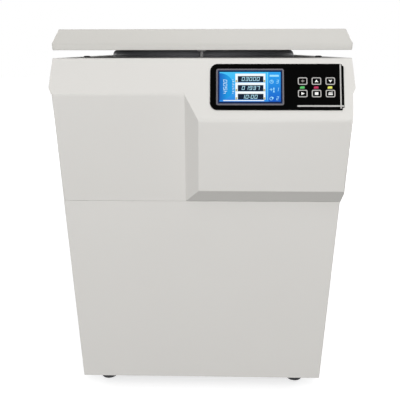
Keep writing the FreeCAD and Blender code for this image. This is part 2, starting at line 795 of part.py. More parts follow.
def motor():
    """Drive motor hung from the motor deck on rubber dampers."""
    can = Part.makeCylinder(motor_radius, motor_height, vec(0, axis_y, motor_bottom))
    flange = Part.makeCylinder(motor_flange_radius, motor_flange_thickness, vec(0, axis_y, motor_top))
    nose = Part.makeCylinder(34, 34, vec(0, axis_y, flange_top))
    rib = block(motor_radius - 3, motor_radius + 9, axis_y - 1.5, axis_y + 1.5, motor_bottom + 30, motor_top)
    ribs = [turn_about_axis(rib, number * 360.0 / motor_ribs) for number in range(motor_ribs)]
    body = fuse(can, flange, nose, *ribs)
    bore = Part.makeCylinder(shaft_radius + running_clearance, 160, vec(0, axis_y, motor_top - 80))
    save("motor_body", body.cut(bore))

    dampers = []
    for number in range(4):
        angle = math.radians(45 + 90 * number)
        x, y = damper_circle * math.cos(angle), axis_y + damper_circle * math.sin(angle)
        waisted = [
            (0, flange_top), (18, flange_top), (14, flange_top + damper_height / 2),
            (18, motor_deck_bottom), (0, motor_deck_bottom),
        ]
        dampers.append(turned(waisted, 0, x, y))
    save("motor_dampers", *dampers)


def rotor():
    """Shaft, four-place swing-out yoke and the nut that clamps it."""
    shaft_foot = motor_top - 79
    shaft = Part.makeCylinder(shaft_radius, hub_top - 8 - shaft_foot, vec(0, axis_y, shaft_foot))
    collar = Part.makeCylinder(21, 14, vec(0, axis_y, hub_bottom - 14))
    stud = Part.makeCylinder(clamp_stud_radius, 30, vec(0, axis_y, hub_top - 12))
    save("motor_shaft", fuse(shaft, collar, stud))

    hub = Part.makeCylinder(hub_radius, hub_top - hub_bottom, vec(0, axis_y, hub_bottom))
    pieces = [hub]
    arm_half = 13.0
    bar_half = 31.0
    # The inner corners of each cross bar pass just outside the ends of the buckets' bosses.
    bar_inner = bar_half + math.sqrt(2) * (bucket_radius + boss_length + boss_clearance)
    bar_outer = bar_inner + bar_depth
    for number in range(4):
        arm = block(10, bar_outer - 8, axis_y - arm_half, axis_y + arm_half, swing_z - 15, swing_z + 15)
        bar = block(bar_inner, bar_outer, axis_y - bar_half, axis_y + bar_half, swing_z - 12, swing_z + 12)
        pieces.append(turn_about_axis(fuse(arm, bar), 45.0 + 90.0 * number))
        for side in (-1, 1):
            start, end = bucket_radius + 0.8, bucket_radius + 18.0
            pin = rod(
                trunnion_radius,
                vec(swing_radius, axis_y + side * start, swing_z),
                vec(swing_radius, axis_y + side * end, swing_z),
            )
            pieces.append(turn_about_axis(pin, 90.0 * number))
    yoke = fuse(pieces[0], *pieces[1:])
    depth = hub_top - 8 - hub_bottom
    bore = Part.makeCylinder(shaft_radius + running_clearance, depth + 1, vec(0, axis_y, hub_bottom - 1))
    through = Part.makeCylinder(clamp_stud_radius + running_clearance, 100, vec(0, axis_y, hub_bottom))
    save("rotor_yoke", yoke.cut([bore, through]))

    nut = Part.makeCylinder(rotor_nut_radius, rotor_nut_height, vec(0, axis_y, hub_top))
    rim = [edge for edge in nut.Edges if edge.CenterOfMass.z > hub_top + rotor_nut_height - 1]
    nut = nut.makeChamfer(3, rim)
    flute = Part.makeCylinder(4, rotor_nut_height + 10, vec(rotor_nut_radius + 2.5, axis_y, hub_top - 5))
    flutes = [turn_about_axis(flute, 60.0 * number) for number in range(6)]
    bore = Part.makeCylinder(clamp_stud_radius + running_clearance, 18.2, vec(0, axis_y, hub_top))
    save("rotor_nut", nut.cut(flutes + [bore]))


def buckets():
    """Four buckets that hang on the yoke's trunnions, each with a rubber cushion."""
    rim = swing_z + bucket_rise
    inside = bucket_radius - bucket_wall
    floor_z = bucket_bottom + bucket_floor
    cup = turned(
        [(0, bucket_bottom), (bucket_radius, bucket_bottom), (bucket_radius, rim), (0, rim)], [0, 8, 1, 0],
        swing_radius,
    )
    boss_end = bucket_radius + boss_length
    bosses = []
    for side in (-1, 1):
        near, far = axis_y + side * (inside + 1), axis_y + side * boss_end
        bosses.append(rod(11, vec(swing_radius, near, swing_z), vec(swing_radius, far, swing_z)))
    cup = fuse(cup, *bosses)
    hollow = [(0, floor_z), (inside, floor_z), (inside, rim + 5), (0, rim + 5)]
    cuts = [turned(hollow, [0, 4, 0, 0], swing_radius)]
    bore = trunnion_radius + running_clearance
    for side in (-1, 1):
        near, far = sorted((axis_y + side * (bucket_radius + fit_gap), axis_y + side * (boss_end + 2)))
        cuts.append(rod(bore, vec(swing_radius, near, swing_z), vec(swing_radius, far, swing_z)))
        cuts.append(block(swing_radius - bore, swing_radius + bore, near, far, swing_z - 14, swing_z))
    cup = cup.cut(cuts)
    pad_radius, pad_top = inside - fit_gap, floor_z + cushion_thickness
    pad = [(0, floor_z), (pad_radius, floor_z), (pad_radius, pad_top), (0, pad_top)]
    fitted = [(0, floor_z), (pad_radius, floor_z), (pad_radius, rim), (0, rim)]
    cushion = turned(pad, 0, swing_radius).common(turned(fitted, [0, 4, 0, 0], swing_radius))
    for number in range(4):
        save("bucket_%d" % (number + 1), turn_about_axis(cup, 90.0 * number))
        save("bucket_cushion_%d" % (number + 1), turn_about_axis(cushion, 90.0 * number))


# ---------------------------------------------------------------- control panel

def key_places():
    return [(x, drop) for drop in key_rows for x in key_columns]


def control_panel():
    """Bezel, trim, display, keys and lamps on the slope, and the board behind them."""
    radii = [bezel_corner, 6.0, 8.0, bezel_corner]
    bezel = slope_plate(bezel_left, bezel_drop, bezel_width, bezel_height, 0, bezel_thickness, radii)
    cuts = []
    screen_left = display_left + display_border
    screen_drop = display_drop + display_border
    screen_width = display_width - 2 * display_border
    screen_height = display_height - 2 * display_border
    cuts.append(slope_plate(
        screen_left - fit_gap, screen_drop - fit_gap,
        screen_width + 2 * fit_gap, screen_height + 2 * fit_gap, -5, 5))
    for x, drop in key_places():
        cuts.append(slope_plate(
            x - key_width / 2 - fit_gap, drop - key_height / 2 - fit_gap,
            key_width + 2 * fit_gap, key_height + 2 * fit_gap, -5, 5, key_corner + fit_gap))
    ease = 0.1
    for x in key_columns:
        cuts.append(slope_plate(
            x - lamp_width / 2 - ease, lamp_drop - lamp_height / 2 - ease,
            lamp_width + 2 * ease, lamp_height + 2 * ease, -5, 5))
    beyond_trim = trim_x + trim_width / 2
    below_trim = trim_row + trim_height / 2
    cuts.append(slope_plate(beyond_trim, below_trim, 20, 20, -5, 5))
    cuts.append(slope_plate(beyond_trim, bezel_drop - 5, 20, 5 + trim_corner, -5, 5))
    save("control_bezel", on_slope(bezel.cut(cuts)))

    trim_low, trim_high = bezel_thickness, bezel_thickness + trim_proud
    upright_trim = slope_plate(
        trim_x - trim_width / 2, bezel_drop + 1, trim_width, bezel_height - 4, trim_low, trim_high)
    level_trim = slope_plate(
        trim_start, trim_row - trim_height / 2, bezel_left + bezel_width - 1 - trim_start, trim_height,
        trim_low, trim_high)
    save("bezel_trim", on_slope(fuse(upright_trim, level_trim)))

    frame = slope_plate(
        display_left, display_drop, display_width, display_height,
        bezel_thickness, bezel_thickness + 1.0, 4.0)
    opening = slope_plate(
        screen_left + 0.5, screen_drop + 0.5, screen_width - 1, screen_height - 1, -5, 10)
    save("display_frame", on_slope(frame.cut(opening)))
    screen = slope_plate(screen_left, screen_drop, screen_width, screen_height, -4, bezel_thickness)
    save("display_screen", on_slope(screen))

    names = ("key_set", "key_up", "key_down", "key_start", "key_stop", "key_lid")
    for name, (x, drop) in zip(names, key_places()):
        cap = slope_plate(
            x - key_width / 2, drop - key_height / 2, key_width, key_height,
            -1.5, bezel_thickness + key_proud, key_corner)
        stem_foot = key_travel + 0.2 - board_drop
        stem = Part.makeCylinder(2.5, -1.5 - stem_foot, vec(x, -drop, stem_foot))
        save(name, on_slope(fuse(cap, stem)))

    lamps = [
        on_slope(slope_plate(
            x - lamp_width / 2, lamp_drop - lamp_height / 2, lamp_width, lamp_height,
            -3, bezel_thickness + 0.4))
        for x in key_columns
    ]
    save("status_leds", *lamps)

    board_back = -board_drop - board_thickness
    board = slope_plate(
        bezel_left + 12, bezel_drop + 9, bezel_width - 24, bezel_height - 18, board_back, -board_drop)
    spacers = [
        Part.makeCylinder(3, board_drop, vec(x, -drop, -board_drop))
        for x in (display_left + display_width + 13, bezel_left + bezel_width - 20)
        for drop in (key_rows[0] - 18.4, key_rows[1] + 15.4)
    ]
    chip = slope_plate(120, 50, 24, 24, board_back - 2.4, board_back)
    socket = slope_plate(200, 55, 40, 10, board_back - 8.4, board_back)
    save("control_board", on_slope(fuse(board, chip, socket, *spacers)))


# ---------------------------------------------------------------- electrics and fan

def motor_drive():
    """Speed controller: a finned box on the floor pan."""
    left, front = drive_left, panel_front + drive_setback
    top = floor_plate + drive_height
    box = block(left, left + drive_width, front, front + drive_depth, floor_plate, top)
    groove_pitch, groove_width, groove_depth = 16.0, 8.0, 25.0
    rear = front + drive_depth
    grooves = []
    for number in range(int(drive_width / groove_pitch) - 1):
        start = left + 10 + groove_pitch * number
        end = start + groove_width
        grooves.append(block(start, end, rear - groove_depth, rear + 5, floor_plate + 10, top + 5))
    save("motor_drive", box.cut(grooves))


def rear_services():
    """Mains inlet with its switch, and the fan behind the vent box."""
    half_w, half_h = inlet_width / 2, inlet_height / 2
    rim = upright(rectangle(-half_w, half_w, -half_h, half_h), 3.0, 0, 3)
    barrel = block(-half_w + 5, half_w - 5, -half_h + 5, half_h - 5, -34, 0)
    socket = block(-14, 14, -33, -8, -26, 10)
    rocker_well = block(-10.3, 10.3, 4.5, 35.5, -20, 10)
    axle = rod(1.5, vec(-12, 20, -4), vec(12, 20, -4))
    body = fuse(fuse(rim, barrel).cut([socket, rocker_well]), axle)
    for offset in (-9.0, 0.0, 9.0):
        pin_y = -18.0 if offset else -24.0
        body = fuse(body, block(offset - 1, offset + 1, pin_y - 4, pin_y + 4, -28, -6))
    rocker = upright(rectangle(-10, 10, 7, 33), 1.0, -12, 2)
    front = rod(18.0, vec(-10, 20, -13.5), vec(10, 20, -13.5))
    rocker = rocker.common(front)
    rocker = rocker.cut(rod(1.5 + running_clearance, vec(-12, 20, -4), vec(12, 20, -4)))
    rocker.rotate(vec(0, 20, -4), X_AXIS, rocker_tilt)
    place = FreeCAD.Placement(vec(inlet_x, panel_rear, inlet_z), FreeCAD.Rotation(vec(0, 0, 1), vec(0, 1, 0)))
    tilt = FreeCAD.Placement(vec(0, 0, 0), FreeCAD.Rotation(Z_AXIS, 180))
    for node, shape in (("power_inlet", body), ("power_rocker", rocker)):
        placed = shape.copy()
        placed.Placement = place.multiply(tilt)
        save(node, placed)

    back = panel_rear - sheet
    front_face = back - fan_depth
    half = fan_size / 2
    frame = block(-half, half, front_face, back, fan_z - half, fan_z + half)
    duct = rod(half - 3, vec(0, front_face - 5, fan_z), vec(0, back + 5, fan_z))
    hub_motor = rod(20, vec(0, front_face, fan_z), vec(0, front_face + 6, fan_z))
    spokes = [
        block(-half + 1, half - 1, front_face, front_face + 4, fan_z - 3, fan_z + 3),
        block(-3, 3, front_face, front_face + 4, fan_z - half + 1, fan_z + half - 1),
    ]
    axle = rod(3, vec(0, front_face + 5, fan_z), vec(0, back - 3, fan_z))
    save("fan_housing", fuse(frame.cut(duct), hub_motor, axle, *spokes))

    hub = rod(19, vec(0, front_face + 6.5, fan_z), vec(0, back - 4, fan_z))
    blades = []
    for number in range(fan_blades):
        blade = block(14, half - 5, -1, 1, -13, 13)
        blade.rotate(vec(0, 0, 0), X_AXIS, -50)
        blade.rotate(vec(0, 0, 0), Y_AXIS, number * 360.0 / fan_blades)
        blade.translate(vec(0, (front_face + 6.5 + back - 4) / 2, fan_z))
        blades.append(blade)
    impeller = fuse(hub, *blades)
    bore = rod(3 + running_clearance, vec(0, front_face, fan_z), vec(0, back + 5, fan_z))
    save("fan_impeller", impeller.cut(bore))


# ---------------------------------------------------------------- whole machine

def main():
    os.makedirs("parts", exist_ok=True)
    top_cover()
    front_panel()
    rear_panel()
    side_panels()
    base_plate()
    levelling_feet()
    chassis_frame()
    motor_deck()
    casing_screws()
    lid_shell()
    lid_liner()
    lid_striker()
    lid_hinges()
    gas_springs()
    lid_lock()
    chamber()
    deck_bumpers()
    motor()
    rotor()
    buckets()
    control_panel()
    motor_drive()
    rear_services()


main()
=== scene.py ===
"""Looks of a floor-standing laboratory centrifuge, built round its packed construction.

The covers are softened copies of the construction's shells, and the control panel, the lid
seal, the feet and the rotor's soft parts are modelled here.  Metres; +Z up, front towards -Y.
"""

import json
import logging
import math
from dataclasses import dataclass
from enum import Enum
from typing import Dict, List, Optional, Sequence, Tuple

import bmesh
import bpy
from mathutils import Matrix, Vector

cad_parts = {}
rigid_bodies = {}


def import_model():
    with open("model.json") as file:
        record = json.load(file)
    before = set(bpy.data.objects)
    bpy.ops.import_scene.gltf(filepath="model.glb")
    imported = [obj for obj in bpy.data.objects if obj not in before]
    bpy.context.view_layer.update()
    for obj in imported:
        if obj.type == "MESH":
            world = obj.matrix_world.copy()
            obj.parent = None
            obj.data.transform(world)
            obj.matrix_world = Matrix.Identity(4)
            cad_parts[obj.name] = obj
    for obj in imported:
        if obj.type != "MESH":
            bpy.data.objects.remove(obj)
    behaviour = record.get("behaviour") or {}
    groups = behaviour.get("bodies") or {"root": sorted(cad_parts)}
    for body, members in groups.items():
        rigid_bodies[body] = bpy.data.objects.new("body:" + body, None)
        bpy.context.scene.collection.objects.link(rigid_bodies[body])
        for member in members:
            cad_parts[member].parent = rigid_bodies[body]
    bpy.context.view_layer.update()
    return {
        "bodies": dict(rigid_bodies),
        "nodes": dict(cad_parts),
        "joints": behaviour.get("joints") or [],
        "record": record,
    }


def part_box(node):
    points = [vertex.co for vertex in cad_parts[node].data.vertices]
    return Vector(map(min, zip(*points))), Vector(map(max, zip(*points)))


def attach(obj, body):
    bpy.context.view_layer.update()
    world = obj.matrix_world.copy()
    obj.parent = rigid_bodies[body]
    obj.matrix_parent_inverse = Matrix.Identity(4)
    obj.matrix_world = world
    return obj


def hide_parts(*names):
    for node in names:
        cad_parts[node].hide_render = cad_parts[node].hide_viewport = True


LOG = logging.getLogger("centrifuge")
MM = 0.001

Colour = Tuple[float, float, float, float]
Point = Tuple[float, float]
Point3 = Tuple[float, float, float]
Outline = List[Point]
Tree = bpy.types.NodeTree
Node = bpy.types.Node
Socket = bpy.types.NodeSocket


# ---------------------------------------------------------------- nodes and colours

def linear(hex_colour: str) -> Colour:
    """Turn an sRGB hex colour into the linear values that a shader takes.

    Args:
        hex_colour: Six hex digits with a leading hash.

    Returns:
        Red, green, blue and an alpha of 1.
    """
    values = [int(hex_colour[i:i + 2], 16) / 255 for i in (1, 3, 5)]
    red, green, blue = [v / 12.92 if v <= 0.04045 else ((v + 0.055) / 1.055) ** 2.4 for v in values]
    return (red, green, blue, 1.0)


def add_node(tree: Tree, kind: str, settings: Optional[dict] = None,
             links: Optional[dict] = None) -> Node:
    """Add one node with its settings and its incoming links.

    Args:
        tree: Node tree that receives the node.
        kind: Blender's identifier of the node type.
        settings: Values by input name, input number or property name.
        links: Output sockets by input name or number.

    Returns:
        The new node.
    """
    node = tree.nodes.new(kind)
    for key, value in (settings or {}).items():
        if isinstance(key, int) or key in node.inputs:
            node.inputs[key].default_value = value
        else:
            setattr(node, key, value)
    for key, socket in (links or {}).items():
        tree.links.new(socket, node.inputs[key])
    return node


# ---------------------------------------------------------------- finishes

@dataclass(frozen=True)
class Finish:
    """One surface finish, with its colour and gloss; its detail comes from a subclass."""

    name: str
    colour: str
    roughness: float = 0.5
    metallic: float = 0.0
    ior: float = 1.5
    specular: float = 0.5

    def material(self) -> bpy.types.Material:
        """Return the finish's material, made on first use.

        Returns:
            The material.
        """
        found = bpy.data.materials.get(self.name)
        if found is not None:
            return found
        material = bpy.data.materials.new(self.name)
        material.use_nodes = True
        tree = material.node_tree
        tree.nodes.clear()
        shader = add_node(tree, "ShaderNodeBsdfPrincipled", {
            "Base Color": linear(self.colour),
            "Roughness": self.roughness,
            "Metallic": self.metallic,
        })
        if not self.metallic:
            shader.inputs["IOR"].default_value = self.ior
            shader.inputs["Specular IOR Level"].default_value = self.specular
        place = add_node(tree, "ShaderNodeTexCoord").outputs["Object"]
        self.detail(tree, shader, place)
        add_node(tree, "ShaderNodeOutputMaterial", links={"Surface": shader.outputs["BSDF"]})
        material.diffuse_color = linear(self.colour)
        return material

    def detail(self, tree: Tree, shader: Node, place: Socket) -> None:
        """Add the finish's pattern; a plain finish has none."""

    def noise(self, tree: Tree, place: Socket, size_mm: float, octaves: float = 2.0) -> Socket:
        """Return a noise whose features are about a size in millimetres.

        Args:
            tree: The material's nodes.
            place: Place on the piece, in metres.
            size_mm: Size of a feature.
            octaves: How many finer layers it has.

        Returns:
            The noise, between 0 and 1.
        """
        node = add_node(tree, "ShaderNodeTexNoise",
                        {"Scale": 1.0 / (size_mm * MM), "Detail": octaves}, {"Vector": place})
        return node.outputs["Fac"]

    def vary(self, tree: Tree, shader: Node, source: Socket, shade: float, gloss: float) -> None:
        """Let a noise vary the colour's brightness and the roughness a little.

        Args:
            tree: The material's nodes.
            shader: Its shader.
            source: Noise between 0 and 1.
            shade: Largest change of brightness, as a share.
            gloss: Largest change of roughness.
        """
        *colour, alpha = linear(self.colour)
        dark = (*[value * (1 - shade) for value in colour], alpha)
        light = (*[min(1, value * (1 + shade)) for value in colour], alpha)
        mix = add_node(tree, "ShaderNodeMix", {"data_type": "RGBA"}, {0: source})
        mix.inputs[6].default_value = dark
        mix.inputs[7].default_value = light
        tree.links.new(mix.outputs[2], shader.inputs["Base Color"])
        spread = add_node(tree, "ShaderNodeMapRange", {
            "From Min": 0.3, "From Max": 0.7,
            "To Min": max(0.02, self.roughness - gloss), "To Max": min(1.0, self.roughness + gloss),
        }, {"Value": source})
        tree.links.new(spread.outputs["Result"], shader.inputs["Roughness"])

    def relief(self, tree: Tree, shader: Node, source: Socket, height_mm: float,
               strength: float = 1.0) -> None:
        """Raise the surface by a pattern, up to a height in millimetres.

        Args:
            tree: The material's nodes.
            shader: Its shader.
            source: Pattern between 0 and 1.
            height_mm: Height where the pattern is 1.
            strength: Share of that height which shows.
        """
        bump = add_node(tree, "ShaderNodeBump", {"Distance": height_mm * MM, "Strength": strength},
                        {"Height": source})
        tree.links.new(bump.outputs["Normal"], shader.inputs["Normal"])


@dataclass(frozen=True)
class MouldedAbs(Finish):
    """Moulded ABS: a satin surface with the faint grain of a spark-eroded mould."""

    grain_mm: float = 1.1      # the real grain is about 0.3 mm; drawn coarser so that it shows

    def detail(self, tree: Tree, shader: Node, place: Socket) -> None:
        """Add slow mottling and the mould's grain."""
        self.vary(tree, shader, self.noise(tree, place, 140.0, 3.0), 0.012, 0.04)
        self.relief(tree, shader, self.noise(tree, place, self.grain_mm, 3.0), 0.03, 0.35)


@dataclass(frozen=True)
class PowderCoat(Finish):
    """Powder coat on folded sheet: an even satin skin with orange peel."""

    peel_mm: float = 2.4

    def detail(self, tree: Tree, shader: Node, place: Socket) -> None:
        """Add slow mottling and the peel."""
        self.vary(tree, shader, self.noise(tree, place, 180.0, 2.0), 0.012, 0.03)
        self.relief(tree, shader, self.noise(tree, place, self.peel_mm, 1.0), 0.05, 0.3)


@dataclass(frozen=True)
class Rubber(Finish):
    """Moulded rubber: matt, with a dusty bloom and a fine tooth."""

    tooth_mm: float = 0.9

    def detail(self, tree: Tree, shader: Node, place: Socket) -> None:
        """Add the bloom and the tooth."""
        self.vary(tree, shader, self.noise(tree, place, 25.0, 4.0), 0.10, 0.08)
        self.relief(tree, shader, self.noise(tree, place, self.tooth_mm, 2.0), 0.05, 0.5)


class Lay(Enum):
    """Direction in which a metal was worked."""

    ALONG_X = (0.02, 1.0, 1.0)
    ALONG_Y = (1.0, 0.02, 1.0)
    ALONG_Z = (1.0, 1.0, 0.02)


@dataclass(frozen=True)
class BrushedMetal(Finish):
    """Brushed metal: fine parallel scratches that stretch each highlight across them."""

    lay: Lay = Lay.ALONG_X
    scratch_mm: float = 0.5    # real scratches are about 0.1 mm; drawn coarser so that they show

    def detail(self, tree: Tree, shader: Node, place: Socket) -> None:
        """Add the scratches, as noise drawn out along the lay.

        Args:
            tree: The material's nodes.
            shader: Its shader.
            place: Place on the piece, in metres.
        """
        stretch = add_node(tree, "ShaderNodeMapping", {"Scale": self.lay.value}, {"Vector": place})
        scratches = self.noise(tree, stretch.outputs["Vector"], self.scratch_mm, 3.0)
        self.vary(tree, shader, scratches, 0.10, 0.10)
        self.relief(tree, shader, scratches, 0.01, 0.5)


@dataclass(frozen=True)
class TurnedMetal(Finish):
    """Spun or turned metal: rings about a vertical axis, from the tool's feed."""

    axis_x: float = 0.0
    axis_y: float = 0.0
    feed_mm: float = 0.8       # real feed marks are about 0.1 mm; drawn coarser so that they show

    def detail(self, tree: Tree, shader: Node, place: Socket) -> None:
        """Add rings, as noise that depends only on radius and height.

        Args:
            tree: The material's nodes.
            shader: Its shader.
            place: Place on the piece, in metres.
        """
        axis = (self.axis_x, self.axis_y, 0.0)
        centred = add_node(tree, "ShaderNodeVectorMath", {"operation": "SUBTRACT", 1: axis},
                           {0: place})
        parts = add_node(tree, "ShaderNodeSeparateXYZ", links={"Vector": centred.outputs["Vector"]})
        flat = add_node(tree, "ShaderNodeCombineXYZ",
                        links={"X": parts.outputs["X"], "Y": parts.outputs["Y"]})
        radius = add_node(tree, "ShaderNodeVectorMath", {"operation": "LENGTH"},
                          {0: flat.outputs["Vector"]})
        rings = add_node(tree, "ShaderNodeCombineXYZ",
                         links={"X": radius.outputs["Value"], "Y": parts.outputs["Z"]})
        marks = self.noise(tree, rings.outputs["Vector"], self.feed_mm, 2.0)
        self.vary(tree, shader, marks, 0.08, 0.08)
        self.relief(tree, shader, marks, 0.01, 0.4)


@dataclass(frozen=True)
class CastMetal(Finish):
    """Sand-cast or plated metal: grainy, with slow patches of tone."""

    grain_mm: float = 1.5

    def detail(self, tree: Tree, shader: Node, place: Socket) -> None:
        """Add patches of tone and the casting's grain."""
        self.vary(tree, shader, self.noise(tree, place, 18.0, 4.0), 0.08, 0.07)
        self.relief(tree, shader, self.noise(tree, place, self.grain_mm, 3.0), 0.05, 0.4)


@dataclass(frozen=True)
class PrintedFilm(Finish):
    """Polyester overlay film: smooth and glossy, with faint waviness from its adhesive."""

    def detail(self, tree: Tree, shader: Node, place: Socket) -> None:
        """Add the waviness and faint wiping marks."""
        self.vary(tree, shader, self.noise(tree, place, 30.0, 3.0), 0.05, 0.04)
        self.relief(tree, shader, self.noise(tree, place, 12.0, 1.0), 0.01, 0.3)


@dataclass(frozen=True)
class Lit(Finish):
    """A lit area: a display's backlight or a lamp, with a clear window over it."""

    roughness: float = 0.4
    specular: float = 0.05
    glow: float = 1.0
    second: str = ""
    axis: str = "X"
    start: float = 0.0
    end: float = 1.0

    def detail(self, tree: Tree, shader: Node, place: Socket) -> None:
        """Let the area glow in its colour, or in a run from one colour to another.

        Args:
            tree: The material's nodes.
            shader: Its shader.
            place: Place on the piece, in metres.
        """
        shader.inputs["Base Color"].default_value = (0.0, 0.0, 0.0, 1.0)
        shader.inputs["Emission Color"].default_value = linear(self.colour)
        shader.inputs["Emission Strength"].default_value = self.glow
        if not self.second:
            return
        parts = add_node(tree, "ShaderNodeSeparateXYZ", links={"Vector": place})
        along = add_node(tree, "ShaderNodeMapRange", {
            "From Min": self.start, "From Max": self.end, "interpolation_type": "LINEAR",
        }, {"Value": parts.outputs[self.axis]})
        mix = add_node(tree, "ShaderNodeMix", {"data_type": "RGBA"}, {0: along.outputs["Result"]})
        mix.inputs[6].default_value = linear(self.colour)
        mix.inputs[7].default_value = linear(self.second)
        tree.links.new(mix.outputs[2], shader.inputs["Emission Color"])


# The lid's ABS: a shade darker and warmer than the cover.
LID = MouldedAbs("moulded_abs_lid", "#cac8c3", 0.42)
# Moulded ABS, warm off-white: an even satin with soft, wide highlights.
COVER = MouldedAbs("moulded_abs_cover", "#d9d7d3", 0.42)
# Polyester powder coat in the cover's shade: slightly rougher, with a faint orange peel.
PANEL = PowderCoat("powder_coated_panel", "#dcdad6", 0.48)
# Dark grey powder coat on the frame's hidden steel.
INNER_COAT = PowderCoat("powder_coated_frame", "#5b5f63", 0.5)
# Black EPDM: matt and slightly grey, so that it never reads as a hole.
RUBBER = Rubber("epdm_rubber", "#2c2c2e", 0.72)
# Silicone in a mid grey, lighter than the real dark grey seal: painted light for what reaches it
# through the gap under the lid, with a soft sheen along its crown.
SEAL_RUBBER = Rubber("silicone_seal", "#7c7c80", 0.55)
# Back-printed polyester film with an anti-glare face: a deep, even black.
FILM = PrintedFilm("black_overlay_film", "#020202", 0.38, specular=0.012)
# Coated cover glass over the unlit margin of the display: dark blue, with hardly a reflection. The
# same dark blue paints the shade on the inner edge of the display's frame.
SCREEN_GLASS = PrintedFilm("dark_screen_glass", "#0a2350", 0.3, specular=0.06)
# Light grey ink under the same film: flat and even.
PRINT = PrintedFilm("grey_overlay_print", "#b4b2b0", 0.45)
# White ink of the key symbols.
WHITE_PRINT = PrintedFilm("white_overlay_print", "#f4f4f2", 0.45)
# Grey ink of the one dim key symbol.
DIM_PRINT = PrintedFilm("dim_overlay_print", "#8d8682", 0.45)
# Metallic grey paint on the display's moulded frame: a fine sparkle and a soft edge light.
FRAME_COAT = CastMetal("painted_display_frame", "#56535b", 0.4)
# Brushed stainless steel: neutral, with highlights drawn out across the brushing.
STAINLESS = BrushedMetal("brushed_stainless", "#b4b5b6", 0.32, 1.0)
# Steel in a dull dark grey that dims what it reflects: painted shade, so that the striker reads as
# dark as the shaded gap under the lid.
STRIKER_STEEL = BrushedMetal("shade_dulled_striker", "#6c6b6b", 0.5, 1.0, lay=Lay.ALONG_Z)
# The chamber's spun bowl: rings round the rotor's axis that catch the light as a fan.
SPUN_STEEL = TurnedMetal("spun_stainless_bowl", "#b9babb", 0.3, 1.0, axis_y=0.013)
# Clear zinc plate: bluish grey with slow patches.
ZINC = CastMetal("zinc_plate", "#aeb2b5", 0.36, 1.0)
# Dark anodised aluminium, turned: black-grey with a satin ring pattern.
ROTOR_METAL = TurnedMetal("anodised_rotor", "#4a4d52", 0.38, 1.0, axis_y=0.013)
# Bead-blasted aluminium: light and even, without direction.
BUCKET_METAL = CastMetal("blasted_bucket_aluminium", "#9da1a5", 0.42, 1.0)
# Die-cast aluminium: dull and grainy.
MOTOR_METAL = CastMetal("cast_motor_aluminium", "#8f9193", 0.5, 1.0)
# Glass-filled nylon: near black, matt.
BLACK_NYLON = MouldedAbs("black_nylon", "#232325", 0.5)
# Grey enamel on the motor drive's case.
DRIVE_GREY = PowderCoat("drive_housing_coat", "#6f7478", 0.5)
# Solder mask on the circuit board: a glossy deep green.
SOLDER_MASK = PrintedFilm("green_solder_mask", "#1f5a35", 0.38)

SLOT_FINISH: Dict[str, Finish] = {
    "cover_white": COVER,
    "panel_white": PANEL,
    "chassis_grey": INNER_COAT,
    "steel": STAINLESS,
    "zinc": ZINC,
    "seal_rubber": SEAL_RUBBER,
    "black_rubber": RUBBER,
    "bezel_black": FILM,
    "trim_grey": PRINT,
    "frame_grey": FRAME_COAT,
    "screen_blue": FILM,
    "lamp_lens": WHITE_PRINT,
    "key_black": BLACK_NYLON,
    "board_green": SOLDER_MASK,
    "drive_grey": DRIVE_GREY,
    "motor_alloy": MOTOR_METAL,
    "rotor_alloy": ROTOR_METAL,
    "bucket_alloy": BUCKET_METAL,
}


# ---------------------------------------------------------------- pieces

NODE_OBJECTS: Dict[str, bpy.types.Object] = {}      # filled by dress_nodes
WELD_MM = 0.002            # points of a copied node nearer than this are one
SPIN_WELD_MM = 0.005       # and those of a turned piece
FLAT_DEGREES = 0.4         # faces that meet at less are one face


